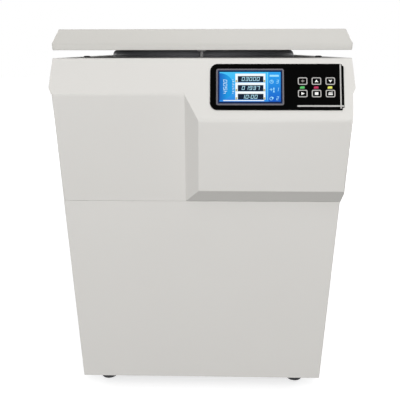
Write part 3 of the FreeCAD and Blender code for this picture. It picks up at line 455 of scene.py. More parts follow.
class Piece:
    """A piece in the making: one bmesh, which becomes an object that rides on a body."""

    def __init__(self, name: str, body: str) -> None:
        """Start an empty piece with a name, on a body.

        Args:
            name: Name of the piece.
            body: Body that it rides on.
        """
        self.name = name
        self.body = body
        self.shape = bmesh.new()

    def copy_of(self, *nodes: str) -> "Piece":
        """Take the merged meshes of construction nodes, with flat faces made whole.

        Args:
            nodes: Names of the nodes.

        Returns:
            The piece itself.
        """
        for node in nodes:
            self.shape.from_mesh(NODE_OBJECTS[node].data)
        bmesh.ops.remove_doubles(self.shape, verts=self.shape.verts, dist=WELD_MM * MM)
        bmesh.ops.dissolve_limit(self.shape, angle_limit=math.radians(FLAT_DEGREES),
                                 use_dissolve_boundaries=False,
                                 verts=self.shape.verts, edges=self.shape.edges)
        return self

    def soften(self, radius_mm: float, segments: int = 2, sharper_than: float = 36.0) -> "Piece":
        """Round the sharp edges.

        Args:
            radius_mm: Width of the rounding.
            segments: Steps across it.
            sharper_than: Least angle, in degrees, of an edge that is rounded.

        Returns:
            The piece itself.
        """
        limit = math.radians(sharper_than)
        edges = [edge for edge in self.shape.edges
                 if len(edge.link_faces) == 2 and edge.calc_face_angle(0.0) > limit]
        self.bevel(edges, radius_mm, segments)
        return self

    def bevel(self, edges: Sequence[bmesh.types.BMEdge], radius_mm: float,
              segments: int = 2) -> Sequence[bmesh.types.BMVert]:
        """Bevel edges by a width in millimetres.

        Args:
            edges: Edges of the shape.
            radius_mm: Width of the bevel.
            segments: Steps across it.

        Returns:
            The new points.
        """
        return bmesh.ops.bevel(self.shape, geom=edges, offset=radius_mm * MM, offset_type="OFFSET",
                               affect="EDGES", segments=segments, profile=0.5, material=-1,
                               clamp_overlap=True)["verts"]

    def plate(self, outline: Sequence[Point], low: float, high: float, at: Matrix = Matrix(),
              rim_mm: float = 0.0) -> "Piece":
        """Add a plate: an outline drawn up to a thickness.

        Args:
            outline: Corners in order, in metres, in the plate's own plane.
            low: Height of its underside.
            high: Height of its face.
            at: Place of the plate.
            rim_mm: Rounding of the face's rim.

        Returns:
            The piece itself.
        """
        corners = [self.shape.verts.new((x, y, low)) for x, y in outline]
        floor = self.shape.faces.new(corners)
        raised = bmesh.ops.extrude_face_region(self.shape, geom=[floor], use_keep_orig=True)["geom"]
        top = [v for v in raised if isinstance(v, bmesh.types.BMVert)]
        bmesh.ops.translate(self.shape, vec=(0, 0, high - low), verts=top)
        face = [f for f in raised if isinstance(f, bmesh.types.BMFace)][0]
        every = set(corners) | set(top)
        if rim_mm:
            every |= set(self.bevel(list(face.edges), rim_mm))
        bmesh.ops.transform(self.shape, matrix=at, verts=[v for v in every if v.is_valid])
        return self

    def spun(self, profile: Sequence[Point], centre: Vector, steps: int = 96) -> "Piece":
        """Add a ring or a solid of revolution about a vertical axis.

        Args:
            profile: Closed or open run of radius and height, in metres.
            centre: Point on the axis that the heights start from.
            steps: Facets round the axis.

        Returns:
            The piece itself.
        """
        before = set(self.shape.verts)
        verts = [self.shape.verts.new((r, 0.0, z)) for r, z in profile]
        edges = [self.shape.edges.new(pair) for pair in zip(verts, verts[1:])]
        if profile[0][0] > 0.0 and profile[-1][0] > 0.0:
            edges.append(self.shape.edges.new((verts[-1], verts[0])))
        bmesh.ops.spin(self.shape, geom=verts + edges,
                       cent=(0, 0, 0), axis=(0, 0, 1), dvec=(0, 0, 0),
                       angle=math.tau, steps=steps, use_merge=True, use_duplicate=False)
        added = [v for v in self.shape.verts if v not in before]
        bmesh.ops.remove_doubles(self.shape, verts=added, dist=SPIN_WELD_MM * MM)
        added = [v for v in self.shape.verts if v not in before]
        bmesh.ops.translate(self.shape, vec=centre, verts=added)
        return self

    def done(self, finish: Finish, slot: str, *stands_for: str, smooth: float = 35.0) -> None:
        """Make the object, give it its finish and let it ride on its body.

        Args:
            finish: Its finish.
            slot: The record's material slot; not used.
            stands_for: Construction nodes that it replaces.
            smooth: Largest angle, in degrees, that is shaded smooth.
        """
        bmesh.ops.recalc_face_normals(self.shape, faces=self.shape.faces)
        mesh = bpy.data.meshes.new(self.name)
        self.shape.to_mesh(mesh)
        self.shape.free()
        mesh.shade_smooth()
        mesh.set_sharp_from_angle(angle=math.radians(smooth))
        mesh.materials.append(finish.material())
        made = bpy.data.objects.new(self.name, mesh)
        bpy.context.scene.collection.objects.link(made)
        weighted = made.modifiers.new("weighted", "WEIGHTED_NORMAL")
        weighted.keep_sharp = True
        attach(made, self.body)
        if stands_for:
            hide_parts(*stands_for)
        LOG.info("%s: %d faces", self.name, len(mesh.polygons))


def rounded(width: float, height: float, radius: float, steps: int = 6,
            centre: Point = (0.0, 0.0)) -> Outline:
    """Return the outline of a rectangle with round corners.

    Args:
        width: Size across.
        height: Size up.
        radius: Corner radius.
        steps: Facets in each corner.
        centre: Its middle.

    Returns:
        The outline's corners, anticlockwise.
    """
    outline = []
    for turn, (sx, sy) in enumerate(((1, 1), (-1, 1), (-1, -1), (1, -1))):
        for step in range(steps + 1):
            angle = math.radians(90 * turn + 90 * step / steps)
            outline.append((centre[0] + sx * (width / 2 - radius) + radius * math.cos(angle),
                            centre[1] + sy * (height / 2 - radius) + radius * math.sin(angle)))
    return outline


def box_outline(left: float, right: float, low: float, high: float) -> Outline:
    """Return the outline of a plain rectangle."""
    return [(left, low), (right, low), (right, high), (left, high)]


@dataclass(frozen=True)
class Slope:
    """The sloped fascia's own axes: across, up the slope, and out of it."""

    out: Vector

    def matrix(self) -> Matrix:
        """Return the turn from the slope's axes to the object's.

        Returns:
            The turn, as a matrix of four rows.
        """
        across = Vector((1, 0, 0))
        up = self.out.cross(across)
        return Matrix((across, up, self.out)).transposed().to_4x4()

    def extent(self, *nodes: str) -> Tuple[Vector, Vector]:
        """Return the lowest and highest corners of nodes along the slope's axes.

        Args:
            nodes: Names of the nodes.

        Returns:
            The lowest and the highest corner.
        """
        back = self.matrix().inverted()
        points = [back @ v.co for node in nodes for v in NODE_OBJECTS[node].data.vertices]
        low = Vector([min(p[i] for p in points) for i in range(3)])
        high = Vector([max(p[i] for p in points) for i in range(3)])
        return low, high


# ---------------------------------------------------------------- sub-assemblies

@dataclass
class Covers:
    """The outer skin: top cover, front, side and rear panels, and their screws."""

    edge_mm: float = 0.6       # rounding of the moulded cover's edges
    fold_mm: float = 0.36      # of the front and side panels' cut edges
    rear_fold_mm: float = 0.4

    def build(self) -> None:
        """Build the softened skins and dress them."""
        Piece("cover_moulding", "cabinet").copy_of("top_cover").soften(self.edge_mm).done(
            COVER, "cover_white", "top_cover")
        for node in ("front_panel", "side_panels"):
            Piece(node + "_skin", "cabinet").copy_of(node).soften(self.fold_mm).done(
                PANEL, "panel_white", node)
        Piece("rear_panel_skin", "cabinet").copy_of("rear_panel").soften(self.rear_fold_mm).done(
            PANEL, "panel_white", "rear_panel")
        Piece("rear_screws", "cabinet").copy_of("casing_screws").done(
            ZINC, "zinc", "casing_screws", smooth=30)


@dataclass
class Lid:
    """The lid: its moulded shell, inner liner and striker."""

    edge_mm: float = 0.8
    liner_mm: float = 0.5
    striker_mm: float = 0.4

    def build(self) -> None:
        """Build the shell and what hangs on it."""
        Piece("lid_moulding", "lid").copy_of("lid_shell").soften(self.edge_mm).done(
            LID, "cover_white", "lid_shell")
        Piece("lid_lining", "lid").copy_of("lid_liner").soften(self.liner_mm).done(
            STAINLESS, "steel", "lid_liner")
        Piece("striker", "lid").copy_of("lid_striker").soften(self.striker_mm).done(
            STRIKER_STEEL, "steel", "lid_striker")


@dataclass
class Chamber:
    """What shows round the chamber's mouth: the seal, the bumpers and the bowl."""

    steps: int = 160           # facets round the seal
    band_mm: float = 26.5      # width of the seal
    foot_mm: float = 3.5       # its clamped foot, outside the band
    lip_mm: float = 3.0
    bend_mm: float = 11.5      # rounding of the band's outer shoulder
    bend_steps: int = 8

    def seal(self) -> None:
        """Build the ring seal: a clamped foot, a smooth band above it and a thin inner lip."""
        low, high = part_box("chamber_seal")
        centre = Vector(((low.x + high.x) / 2, (low.y + high.y) / 2, low.z))
        foot = (high.x - low.x) / 2
        band = foot - self.foot_mm * MM
        inner = foot - self.band_mm * MM
        top = high.z - low.z
        lip = self.lip_mm * MM
        bend = self.bend_mm * MM
        profile = [(inner, 0.0), (foot, 0.0), (foot, lip * 0.7), (band, lip)]
        for step in range(self.bend_steps + 1):
            turn = math.radians(90.0 * step / self.bend_steps)
            profile.append((band - bend + bend * math.cos(turn),
                            top - bend + bend * math.sin(turn)))
        profile += [(inner + 2 * lip, top), (inner + lip, top * 0.7),
                    (inner + lip * 0.3, top * 0.5), (inner, top * 0.3)]
        Piece("seal_ring", "cabinet").spun(profile, centre, self.steps).done(
            SEAL_RUBBER, "seal_rubber", "chamber_seal", smooth=50)

    def bumpers(self) -> None:
        """Build the lid's two rest buttons, domed."""
        low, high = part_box("deck_bumpers")
        radius = (high.y - low.y) / 2
        top = high.z - low.z
        profile = [(0.0, 0.0), (radius, 0.0), (radius, top * 0.45), (radius * 0.9, top * 0.7),
                   (radius * 0.6, top * 0.95), (radius * 0.3, top), (0.0, top)]
        pads = Piece("rest_buttons", "cabinet")
        for x in (low.x + radius, high.x - radius):
            pads.spun(profile, Vector((x, (low.y + high.y) / 2, low.z)), 40)
        pads.done(RUBBER, "black_rubber", "deck_bumpers", smooth=50)

    def bowl(self) -> None:
        """Build the spun bowl, smooth where the press rounded it."""
        Piece("spun_bowl", "cabinet").copy_of("chamber_wall", "chamber_floor").done(
            SPUN_STEEL, "steel", "chamber_wall", "chamber_floor", smooth=40)
        Piece("shaft_bellows", "cabinet").copy_of("shaft_boot").done(
            RUBBER, "black_rubber", "shaft_boot", smooth=40)

    def build(self) -> None:
        """Build all of it."""
        self.seal()
        self.bumpers()
        self.bowl()


@dataclass
class RotorGroup:
    """The swing-out rotor: yoke, nut, shaft and the four buckets with their cushions."""

    edge_mm: float = 0.5
    turned_mm: float = 0.3     # broken edge of the nut and the shaft
    places: int = 4

    def build(self) -> None:
        """Build the turned and milled parts with their edges broken."""
        Piece("yoke", "rotor").copy_of("rotor_yoke").soften(self.edge_mm).done(
            ROTOR_METAL, "rotor_alloy", "rotor_yoke")
        for name, node in (("nut", "rotor_nut"), ("shaft", "motor_shaft")):
            Piece(name, "rotor").copy_of(node).soften(self.turned_mm).done(STAINLESS, "steel", node)
        for number in range(1, self.places + 1):
            body = "bucket_%d" % number
            Piece("bucket_cup_%d" % number, body).copy_of(body).done(
                BUCKET_METAL, "bucket_alloy", body, smooth=40)
            cushion = "bucket_cushion_%d" % number
            Piece("cushion_pad_%d" % number, body).copy_of(cushion).done(
                RUBBER, "black_rubber", cushion, smooth=40)


@dataclass
class Feet:
    """The four levelling feet: a ribbed rubber pad, a hexagonal nut and a threaded stud."""

    count: int = 4
    steps: int = 72            # facets round the pad
    trim: float = 0.0025       # the rubber stands this far inside the foot's outline
    pad_height: float = 0.014
    nut_height: float = 0.006
    nut_corner: float = 0.0105     # from the nut's middle to its corners
    nut_edge_mm: float = 0.8
    stud_radius: float = 0.006
    stud_steps: int = 36
    thread: float = 0.0009     # depth of the stud's thread
    pitch: float = 0.00175
    lead_in: float = 0.0005    # plain stud under the thread
    lead_out: float = 0.002    # and above it

    def pad(self, name: str, centre: Vector, radius: float) -> None:
        """Turn the pad, with a recessed tread and two grip rings, and let it stand for the foot.

        Args:
            name: Name of the foot.
            centre: Middle of its underside.
            radius: Outer radius of the pad.
        """
        top = self.pad_height
        profile = [
            (0.0, 0.0008), (radius * 0.7, 0.0008), (radius * 0.74, 0.0), (radius - 0.0015, 0.0),
            (radius - 0.0004, 0.0005), (radius, 0.0016), (radius - 0.0006, 0.0045),
            (radius - 0.0012, 0.005), (radius - 0.0007, 0.0055), (radius - 0.0014, 0.0085),
            (radius - 0.002, 0.009), (radius - 0.0016, 0.0095), (radius - 0.0034, top - 0.0012),
            (radius - 0.0055, top), (0.0, top),
        ]
        Piece(name + "_pad", name).spun(profile, centre, self.steps).done(
            RUBBER, "black_rubber", name, smooth=50)

    def nut(self, name: str, centre: Vector) -> None:
        """Build the nut from a hexagon with its upper corners bevelled.

        Args:
            name: Name of the foot.
            centre: Middle of its underside.
        """
        turns = [math.radians(60 * k) for k in range(6)]
        corners = [(centre.x + self.nut_corner * math.cos(turn),
                    centre.y + self.nut_corner * math.sin(turn)) for turn in turns]
        base = centre.z + self.pad_height
        Piece(name + "_nut", name).plate(
            corners, base, base + self.nut_height, Matrix(), self.nut_edge_mm).done(ZINC, "zinc")

    def stud(self, name: str, centre: Vector, top: float) -> None:
        """Turn the stud, its thread drawn as rings of the real pitch.

        Args:
            name: Name of the foot.
            centre: Middle of its underside.
            top: Height of the stud's end.
        """
        start = self.pad_height + self.nut_height
        rings = int((top - centre.z - start - self.lead_out) / self.pitch)
        crest, root = self.stud_radius, self.stud_radius - self.thread
        profile = [(0.0, start), (root, start)]
        for ring in range(rings):
            z = start + self.lead_in + ring * self.pitch
            profile += [(root, z), (crest, z + self.pitch * 0.4), (crest, z + self.pitch * 0.55),
                        (root, z + self.pitch * 0.9)]
        profile += [(root, top - centre.z), (0.0, top - centre.z)]
        Piece(name + "_stud", name).spun(profile, centre, self.stud_steps).done(
            ZINC, "zinc", smooth=20)

    def build(self) -> None:
        """Build each foot."""
        for number in range(1, self.count + 1):
            name = "levelling_foot_%d" % number
            low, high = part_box(name)
            centre = Vector(((low.x + high.x) / 2, (low.y + high.y) / 2, low.z))
            self.pad(name, centre, (high.x - low.x) / 2 - self.trim)
            self.nut(name, centre)
            self.stud(name, centre, high.z)


class Symbol(Enum):
    """What a key shows."""

    BACK = "back"
    UP = "up"
    DOWN = "down"
    RUN = "run"
    HALT = "halt"
    OPEN = "open"


@dataclass
class ControlPanel:
    """The black overlay with its display, keys, lamps and light trims."""

    slope: Slope
    film_edge_mm: float = 0.35     # rounding of the overlay's rim
    frame_edge_mm: float = 0.8     # and of the display's frame
    skin: float = 0.00012      # thickness of each printed layer
    rim: float = 0.0008        # black edge of a key, outside its outline
    line: float = 0.0018       # width of the keys' outlines
    key_drop: float = 0.0004   # a cap's face, under the top of the key's node
    cap_edge_mm: float = 0.4
    cap_corner: float = 0.0032
    outline_corner: float = 0.003
    field_corner: float = 0.0018
    lens_width: float = 0.008
    lens_inset: float = 0.005  # middle of the outer lenses, from the node's ends
    lens_share: float = 0.85   # height of a lens, as a share of the node's
    lens_corner: float = 0.0012
    lens_edge_mm: float = 0.8
    level_trim: float = 0.0031     # width of the level trim line
    level_rise: float = 0.005      # its middle, above the upright line's foot
    upright_trim: float = 0.0025   # width of the upright trim line
    upright_inset: float = 0.0057  # its middle, from the level line's right end
    frame_shade_width: float = 0.0022   # width of the dark strip on the frame's inner edge: painted shade round the glass
    frame_shade_play: float = 0.0005    # how far the frame's opening stands inside the glass
    frame_shade_sunk: float = 0.0006    # its underside, under the frame's face
    stroke: float = 0.12       # of a figure's height: width of a segment
    lean: float = 0.18         # and how far the figure leans over
    spacing: float = 1.36      # of a figure's width: from one figure to the next
    colon_room: float = 0.55   # and from a colon to the next figure

    def overlay(self) -> None:
        """Build the black overlay and the two light trims."""
        Piece("overlay", "cabinet").copy_of("control_bezel").soften(self.film_edge_mm).done(
            FILM, "bezel_black", "control_bezel")
        self.trims()
        frame = Piece("screen_frame", "cabinet").copy_of("display_frame")
        frame.soften(self.frame_edge_mm, 3).done(FRAME_COAT, "frame_grey", "display_frame")
        # painted shade on the display frame's inner edge
        self.paint_frame_shade()

    def trims(self) -> None:
        """Build the level and the upright trim line as two thin crossing strips."""
        low, high = self.slope.extent("bezel_trim")
        level, upright = low.y + self.level_rise, high.x - self.upright_inset
        half_level, half_upright = self.level_trim / 2, self.upright_trim / 2
        strips = ((low.x, high.x, level - half_level, level + half_level),
                  (upright - half_upright, upright + half_upright, low.y, high.y))
        lines = Piece("trim_lines", "cabinet")
        for lift, strip in enumerate(strips):
            lines.plate(box_outline(*strip), low.z, high.z + lift * self.skin, self.slope.matrix())
        lines.done(PRINT, "trim_grey", "bezel_trim")

    def paint_frame_shade(self) -> None:
        """Build a dark strip round the display's glass, on the inner edge of the frame: painted
        shade where the frame's opening falls into shadow.
        """
        low, high = self.slope.extent("display_screen")
        top = self.slope.extent("display_frame")[1].z
        wide = self.frame_shade_width
        left, right = low.x + self.frame_shade_play, high.x - self.frame_shade_play
        foot, head = low.y + self.frame_shade_play, high.y - self.frame_shade_play
        strips = ((left - wide, right + wide, foot - wide, foot),
                  (left - wide, right + wide, head, head + wide),
                  (left - wide, left, foot, head), (right, right + wide, foot, head))
        ring = Piece("display_frame_shade", "cabinet")
        for strip in strips:
            ring.plate(box_outline(*strip), top - self.frame_shade_sunk, top + self.skin,
                       self.slope.matrix())
        ring.done(SCREEN_GLASS, "bezel_black")

    def screen_tile(self, name: str, outlines: Sequence[Outline], level: int,
                    finish: Finish) -> None:
        """Add one colour of the display's picture.

        Args:
            name: Name of the piece.
            outlines: Outlines in millimetres from the screen's upper left corner, down positive.
            level: How many layers it lies above the glass.
            finish: Its colour.
        """
        low, high = self.slope.extent("display_screen")
        tile = Piece(name, "cabinet")
        base = high.z + self.skin * (level - 1)
        for outline in outlines:
            points = [(low.x + x * MM, high.y - y * MM) for x, y in outline]
            tile.plate(points, base, base + self.skin, self.slope.matrix())
        tile.done(finish, "screen_blue")

    def display(self) -> None:
        """Build the display's picture: scale disc, three read-outs and the status column."""
        low, high = self.slope.extent("display_screen")
        wide, tall = (high.x - low.x) / MM, (high.y - low.y) / MM
        top_z, bottom_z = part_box("display_screen")[1].z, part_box("display_screen")[0].z
        left, foot = 1.7, tall - 2.6
        Piece("display_glass", "cabinet").copy_of("display_screen").done(
            SCREEN_GLASS, "screen_blue", "display_screen")
        field = Lit("backlight_field", "#2680e2", second="#48c6fa", axis="Z",
                    start=bottom_z, end=top_z)
        self.screen_tile("display_field", [box_outline(left, wide - 1.5, 1.5, foot)], 1, field)
        arc = [(2.0 + 27.5 * math.cos(math.radians(a)), 31.5 + 27.5 * math.sin(math.radians(a)))
               for a in range(-84, 85, 6)]
        disc = [(max(x, left), y) for x, y in arc] + [(left, arc[-1][1]), (left, arc[0][1])]
        round_scale = Lit("backlight_disc", "#165fc0", second="#1c98e2", axis="X",
                          start=low.x, end=low.x + 0.018)
        self.screen_tile("display_disc", [disc], 2, round_scale)
        status = Lit("backlight_status", "#0a4fc4", second="#2aa6f6", axis="Z",
                     start=bottom_z, end=top_z)
        self.screen_tile("display_status_field", [box_outline(98.5, wide - 1.5, 1.5, foot)], 2,
                         status)
        windows = [(5.0, 22.4), (23.2, 40.8), (41.1, 57.6)]
        bars = [box_outline(33.0, 92.5, top, end) for top, end in windows]
        self.screen_tile("display_windows", bars + [box_outline(9.2, 89.8, 58.7, 60.4)], 2,
                         Lit("backlight_white", "#f4fbff"))
        posts = [box_outline(x, x + 3.2, end - 4.6, end - 0.2)
                 for x in (33.6, 88.9) for _, end in windows]
        self.screen_tile("display_posts", posts, 3, Lit("backlight_gold", "#b8b27e"))
        fields = [box_outline(37.9, 88.5, top + 5.0, end) for top, end in windows]
        self.screen_tile("display_readout_fields", fields, 3, Lit("backlight_navy", "#0b1c33"))
        figures: List[Outline] = []
        for text, (top, end) in zip(("03000", "01937", "10:00"), windows):
            figures += self.reading(text, 45.4, top + 7.0, 5.4, 7.8)
        self.screen_tile("display_readings", figures, 4, Lit("backlight_figures", "#bdeeff"))
        turned = [[(9.4 + y, 46.5 - x) for x, y in outline]
                  for outline in self.reading("4500", 0.0, 0.0, 5.6, 7.2)]
        ticks = [box_outline(27.0, 29.2 + 1.8 * (k % 2), 17.0 + 3.4 * k, 18.1 + 3.4 * k)
                 for k in range(9)]
        self.screen_tile("display_scale", turned + ticks, 3, Lit("backlight_scale", "#d2f0ff"))
        self.status()

    def status(self) -> None:
        """Build the status column's title bar, divider, icons and figures."""
        marks = [box_outline(100.8, 119.0, 7.4, 11.2), box_outline(96.2, 96.8, 3.0, 58.0)]
        for row, figure in ((17.6, "3"), (33.4, "1"), (51.2, "2")):
            marks += self.reading(figure, 113.6, row, 4.2, 7.4)
        marks += self.ring(104.6, 21.4, 3.9, 0.9) + [box_outline(104.2, 105.0, 18.6, 22.0),
                                                     box_outline(104.2, 107.2, 21.2, 22.0)]
        marks += [box_outline(101.0, 106.4, 36.8, 37.8), box_outline(103.2, 104.2, 34.4, 40.2),
                  [(107.6, 33.6), (110.4, 33.6), (109.6, 39.6),
                   (110.8, 43.0), (107.2, 43.0), (108.4, 39.6)]]
        marks += self.ring(103.8, 55.6, 3.4, 0.9)
        marks.append([(104.0, 51.2), (108.6, 53.4), (107.6, 56.6), (105.0, 55.0)])
        self.screen_tile("display_status", marks, 3, Lit("backlight_marks", "#9fe2ff"))

    def ring(self, x: float, y: float, radius: float, width: float) -> List[Outline]:
        """Return a ring as two half outlines, in millimetres.

        Args:
            x: Middle of the ring, across.
            y: Middle of the ring, down.
            radius: Outer radius.
            width: Width of its band.

        Returns:
            The two outlines.
        """
        halves = []
        hole = radius - width
        for start in (0, 180):
            turns = [math.radians(start + 15 * k) for k in range(13)]
            outer = [(x + radius * math.cos(a), y + radius * math.sin(a)) for a in turns]
            inner = [(x + hole * math.cos(a), y + hole * math.sin(a)) for a in reversed(turns)]
            halves.append(outer + inner)
        return halves

    def reading(self, text: str, left: float, top: float, width: float,
                height: float) -> List[Outline]:
        """Return seven-segment figures as outlines.

        Args:
            text: Digits and colons.
            left: Left edge in millimetres.
            top: Upper edge.
            width: Width of a digit.
            height: Height of a digit.

        Returns:
            One outline per lit segment.
        """
        segments = {"0": "abcdef", "1": "bc", "2": "abged", "3": "abgcd", "4": "fgbc", "5": "afgcd",
                    "6": "afgedc", "7": "abc", "8": "abcdefg", "9": "abcdfg"}
        bar = height * self.stroke
        half = height / 2
        bars = {"a": (0, width, 0, bar), "d": (0, width, height - bar, height),
                "g": (0, width, half - bar / 2, half + bar / 2), "f": (0, bar, 0, half),
                "e": (0, bar, half, height), "b": (width - bar, width, 0, half),
                "c": (width - bar, width, half, height)}
        gap = bar * 0.1
        outlines = []
        x = left
        for mark in text:
            if mark == ":":
                for y in (0.3, 0.7):
                    outlines.append(box_outline(x + 0.6, x + 0.6 + bar, top + height * y - bar / 2,
                                                top + height * y + bar / 2))
                x += width * self.colon_room
                continue
            for letter in segments[mark]:
                x0, x1, y0, y1 = bars[letter]
                upright = letter in "bcef"
                y0, y1 = (y0 + gap, y1 - gap) if upright else (y0, y1)
                x0, x1 = (x0, x1) if upright else (x0 + gap, x1 - gap)
                outlines.append([(x + px + (height - py) * self.lean, top + py)
                                 for px, py in box_outline(x0, x1, y0, y1)])
            x += width * self.spacing
        return outlines

    def keys(self) -> None:
        """Build the six keys, each with its cap, outline and symbol."""
        symbols = {"key_set": Symbol.BACK, "key_up": Symbol.UP, "key_down": Symbol.DOWN,
                   "key_start": Symbol.RUN, "key_stop": Symbol.HALT, "key_lid": Symbol.OPEN}
        for key, symbol in symbols.items():
            self.key(key, symbol)

    def key(self, key: str, symbol: Symbol) -> None:
        """Build one key.

        Args:
            key: The construction's key, which is its body too.
            symbol: What it shows.
        """
        low, high = self.slope.extent(key)
        centre = ((low.x + high.x) / 2, (low.y + high.y) / 2)
        width, height = high.x - low.x, high.y - low.y
        face = high.z - self.key_drop
        turn = self.slope.matrix()
        cap = Piece(key + "_cap", key)
        cap.plate(rounded(width, height, self.cap_corner, 6, centre), low.z, face, turn,
                  self.cap_edge_mm)
        cap.done(FILM, "key_black", key)
        ring = Piece(key + "_outline", key)
        outer = 2 * self.rim
        ring.plate(rounded(width - outer, height - outer, self.outline_corner, 6, centre),
                   face - 0.0002, face + self.skin, turn)
        ring.done(PRINT, "trim_grey")
        inner = Piece(key + "_field", key)
        inside = outer + 2 * self.line
        inner.plate(rounded(width - inside, height - inside, self.field_corner, 6, centre), face,
                    face + 2 * self.skin, turn)
        inner.done(FILM, "key_black")
        mark = Piece(key + "_symbol", key)
        for outline in self.symbol(symbol):
            mark.plate([(centre[0] + x * MM, centre[1] + y * MM) for x, y in outline], face,
                       face + 3 * self.skin, turn)
        mark.done(DIM_PRINT if symbol is Symbol.BACK else WHITE_PRINT, "trim_grey")

    def symbol(self, symbol: Symbol) -> List[Outline]:
        """Return a key symbol's outlines in millimetres from the key's middle, up positive.

        Args:
            symbol: Which symbol.

        Returns:
            Its outlines.
        """
        if symbol is Symbol.BACK:
            return [[(-3.4, 0.2), (1.0, 3.0), (1.0, -2.6)], box_outline(1.0, 3.4, -0.7, 1.1)]
        if symbol is Symbol.UP:
            return [[(-3.6, -2.2), (-1.0, -2.2), (0.0, -0.6), (1.0, -2.2), (3.6, -2.2), (0.0, 3.0)]]
        if symbol is Symbol.DOWN:
            return [[(-3.6, 2.4), (0.0, -2.8), (3.6, 2.4), (1.2, 2.4), (0.0, 1.2), (-1.2, 2.4)]]
        if symbol is Symbol.RUN:
            return [[(-2.8, 3.0), (-2.8, -3.0), (4.0, 0.0)]]
        if symbol is Symbol.HALT:
            return [rounded(7.0, 5.6, 0.8, 3)]
        return [[(-4.2, -2.8), (4.2, -2.8), (4.2, 0.2), (-4.2, 0.2)],
                [(-3.6, 1.0), (4.4, 2.4), (4.2, 3.6), (-3.8, 2.2)]]

    def lamps(self) -> None:
        """Build the three lamps' domed lenses."""
        low, high = self.slope.extent("status_leds")
        turn = self.slope.matrix()
        height = (high.y - low.y) * self.lens_share
        middle = (low.y + high.y) / 2
        xs = (low.x + self.lens_inset, (low.x + high.x) / 2, high.x - self.lens_inset)
        lamps = (("lamp_run", "#5ecb6e"), ("lamp_fault", "#c23a62"), ("lamp_lid", "#eef06a"))
        for x, (name, colour) in zip(xs, lamps):
            lens = Piece(name, "cabinet")
            lens.plate(rounded(self.lens_width, height, self.lens_corner, 5, (x, middle)),
                       low.z, high.z, turn, self.lens_edge_mm)
            lens.done(Lit(name + "_lens", colour, 0.35, glow=0.95), "lamp_lens",
                      *(("status_leds",) if name == "lamp_run" else ()))

    def build(self) -> None:
        """Build all of it."""
        self.overlay()
        self.display()
        self.keys()
        self.lamps()


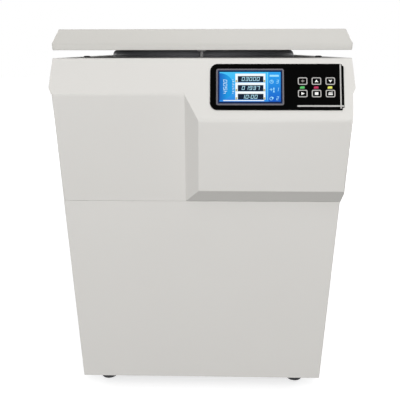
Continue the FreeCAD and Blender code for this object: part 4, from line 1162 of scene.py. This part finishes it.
@dataclass
class Studio:
    """Floor, backdrop, lights and camera."""

    ground: str = "#565656"     # what the floor throws back on the object
    shown: str = "#cfcfcf"      # what the camera and the reflections see of it
    lift: float = 0.62         # brings that up to white near the object, and leaves its shadow
    far_lift: float = 0.75     # the same from 4 m off, where the lamps' light has fallen away
    half_floor: float = 12.0
    sky: float = 0.465         # even light from all round
    sensor: float = 36.0       # camera, in millimetres, metres and degrees
    lens: float = 37.8
    eye: Point3 = (0.015, -1.2033, 0.818)
    pitch: float = 19.71
    yaw: float = -1.15
    roll: float = -0.08

    def seen(self, tree: Tree) -> Socket:
        """Return 1 for rays from the camera, a reflection or a clear part, else 0.

        Args:
            tree: Nodes of the floor or of the world.

        Returns:
            The value.
        """
        path = add_node(tree, "ShaderNodeLightPath")
        value = path.outputs["Is Camera Ray"]
        for kind in ("Is Glossy Ray", "Is Transmission Ray"):
            value = add_node(tree, "ShaderNodeMath", {"operation": "MAXIMUM"},
                             {0: value, 1: path.outputs[kind]}).outputs["Value"]
        return value

    def stage(self) -> None:
        """Build the pale floor: white where it is lit, with the object's soft shadow on it."""
        floor = bmesh.new()
        bmesh.ops.create_grid(floor, x_segments=1, y_segments=1, size=self.half_floor)
        mesh = bpy.data.meshes.new("floor")
        floor.to_mesh(mesh)
        floor.free()
        sheet = bpy.data.objects.new("floor", mesh)
        bpy.context.scene.collection.objects.link(sheet)
        material = bpy.data.materials.new("pale_floor")
        material.use_nodes = True
        tree = material.node_tree
        tree.nodes.clear()
        paint = add_node(tree, "ShaderNodeBsdfDiffuse", {"Color": linear(self.ground)})
        pale = add_node(tree, "ShaderNodeBsdfDiffuse", {"Color": linear(self.shown)})
        away = add_node(tree, "ShaderNodeVectorMath", {"operation": "LENGTH"},
                        {0: add_node(tree, "ShaderNodeTexCoord").outputs["Object"]})
        lift = add_node(tree, "ShaderNodeMapRange", {
            "From Min": 1.2, "From Max": 4.0, "To Min": self.lift, "To Max": self.far_lift,
        }, {"Value": away.outputs["Value"]})
        glow = add_node(tree, "ShaderNodeEmission", {"Color": (1, 1, 1, 1)},
                        {"Strength": lift.outputs["Result"]})
        white = add_node(tree, "ShaderNodeAddShader",
                         links={0: pale.outputs["BSDF"], 1: glow.outputs["Emission"]})
        mix = add_node(tree, "ShaderNodeMixShader", links={
            0: self.seen(tree), 1: paint.outputs["BSDF"], 2: white.outputs["Shader"]})
        add_node(tree, "ShaderNodeOutputMaterial", links={"Surface": mix.outputs["Shader"]})
        mesh.materials.append(material)

    def world(self) -> None:
        """Light the scene evenly, and let the camera and the reflections see white."""
        world = bpy.data.worlds.new("studio")
        bpy.context.scene.world = world
        world.use_nodes = True
        tree = world.node_tree
        tree.nodes.clear()
        soft = add_node(tree, "ShaderNodeBackground", {"Color": (1, 1, 1, 1), "Strength": self.sky})
        white = add_node(tree, "ShaderNodeBackground", {"Color": (1, 1, 1, 1), "Strength": 1.0})
        mix = add_node(tree, "ShaderNodeMixShader", links={
            0: self.seen(tree), 1: soft.outputs["Background"], 2: white.outputs["Background"]})
        add_node(tree, "ShaderNodeOutputWorld", links={"Surface": mix.outputs["Shader"]})

    def lamp(self, name: str, place: Vector, size: float, power: float) -> None:
        """Add a square soft lamp that faces the object's middle.

        Args:
            name: Name of the lamp.
            place: Where it stands.
            size: Its side in metres.
            power: Its power in watts.
        """
        light = bpy.data.lights.new(name, "AREA")
        light.size = size
        light.energy = power
        made = bpy.data.objects.new(name, light)
        made.location = place
        made.rotation_euler = (Vector((0, 0, 0.5)) - place).to_track_quat("-Z", "Y").to_euler()
        bpy.context.scene.collection.objects.link(made)

    def camera(self) -> None:
        """Stand the camera a little above the panel, in front of the object."""
        data = bpy.data.cameras.new("camera")
        data.sensor_width = self.sensor
        data.lens = self.lens
        made = bpy.data.objects.new("camera", data)
        made.location = self.eye
        pitch, yaw, roll = [math.radians(angle) for angle in (self.pitch, self.yaw, self.roll)]
        level = math.cos(pitch)
        forward = Vector((math.sin(yaw) * level, math.cos(yaw) * level, -math.sin(pitch)))
        made.rotation_euler = (forward.to_track_quat("-Z", "Y").to_matrix()
                               @ Matrix.Rotation(roll, 3, "Z")).to_euler()
        bpy.context.scene.collection.objects.link(made)
        bpy.context.scene.camera = made

    def build(self) -> None:
        """Set the whole studio up."""
        self.stage()
        self.world()
        for name, place, size, power in (
                ("key", (2.4, -4.6, 3.0), 2.6, 64.0),
                ("fill", (-2.2, -3.6, 1.2), 2.4, 37.0),
                ("front", (0.5, -4.4, 0.87), 0.9, 28.0),
                ("top", (0.6, -2.4, 4.2), 2.4, 35.0),
                ("rear_left", (-3.6, 3.4, 2.0), 2.4, 78.0),
                ("rear_right", (3.6, 3.4, 2.0), 2.4, 78.0)):
            self.lamp(name, Vector(place), size, power)
        self.camera()
        bpy.context.scene.view_settings.view_transform = "Standard"


def dress_nodes(frame: dict) -> None:
    """Give every construction node its slot's finish.

    Args:
        frame: What the loaded construction holds.
    """
    slots = {part["node"]: part["material_slot"] for part in frame["record"]["subparts"]}
    for node, thing in frame["nodes"].items():
        NODE_OBJECTS[node] = thing
        finish = SLOT_FINISH[slots[node]].material()
        for index in range(max(1, len(thing.data.materials))):
            if len(thing.data.materials) == 0:
                thing.data.materials.append(finish)
            thing.data.materials[index] = finish


def main() -> None:
    """Load the construction, dress it, and build every sub-assembly."""
    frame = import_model()
    dress_nodes(frame)
    press = [joint for joint in frame["joints"] if joint["name"] == "key_set_press"][0]
    slope = Slope(-Vector(press["axis"]))
    for part in (Covers(), Lid(), Chamber(), RotorGroup(), Feet(), ControlPanel(slope)):
        part.build()
        LOG.info("%s built", type(part).__name__)
    Studio().build()


if __name__ == "__main__":
    logging.basicConfig(level=logging.INFO, format="%(name)s: %(message)s")
    main()
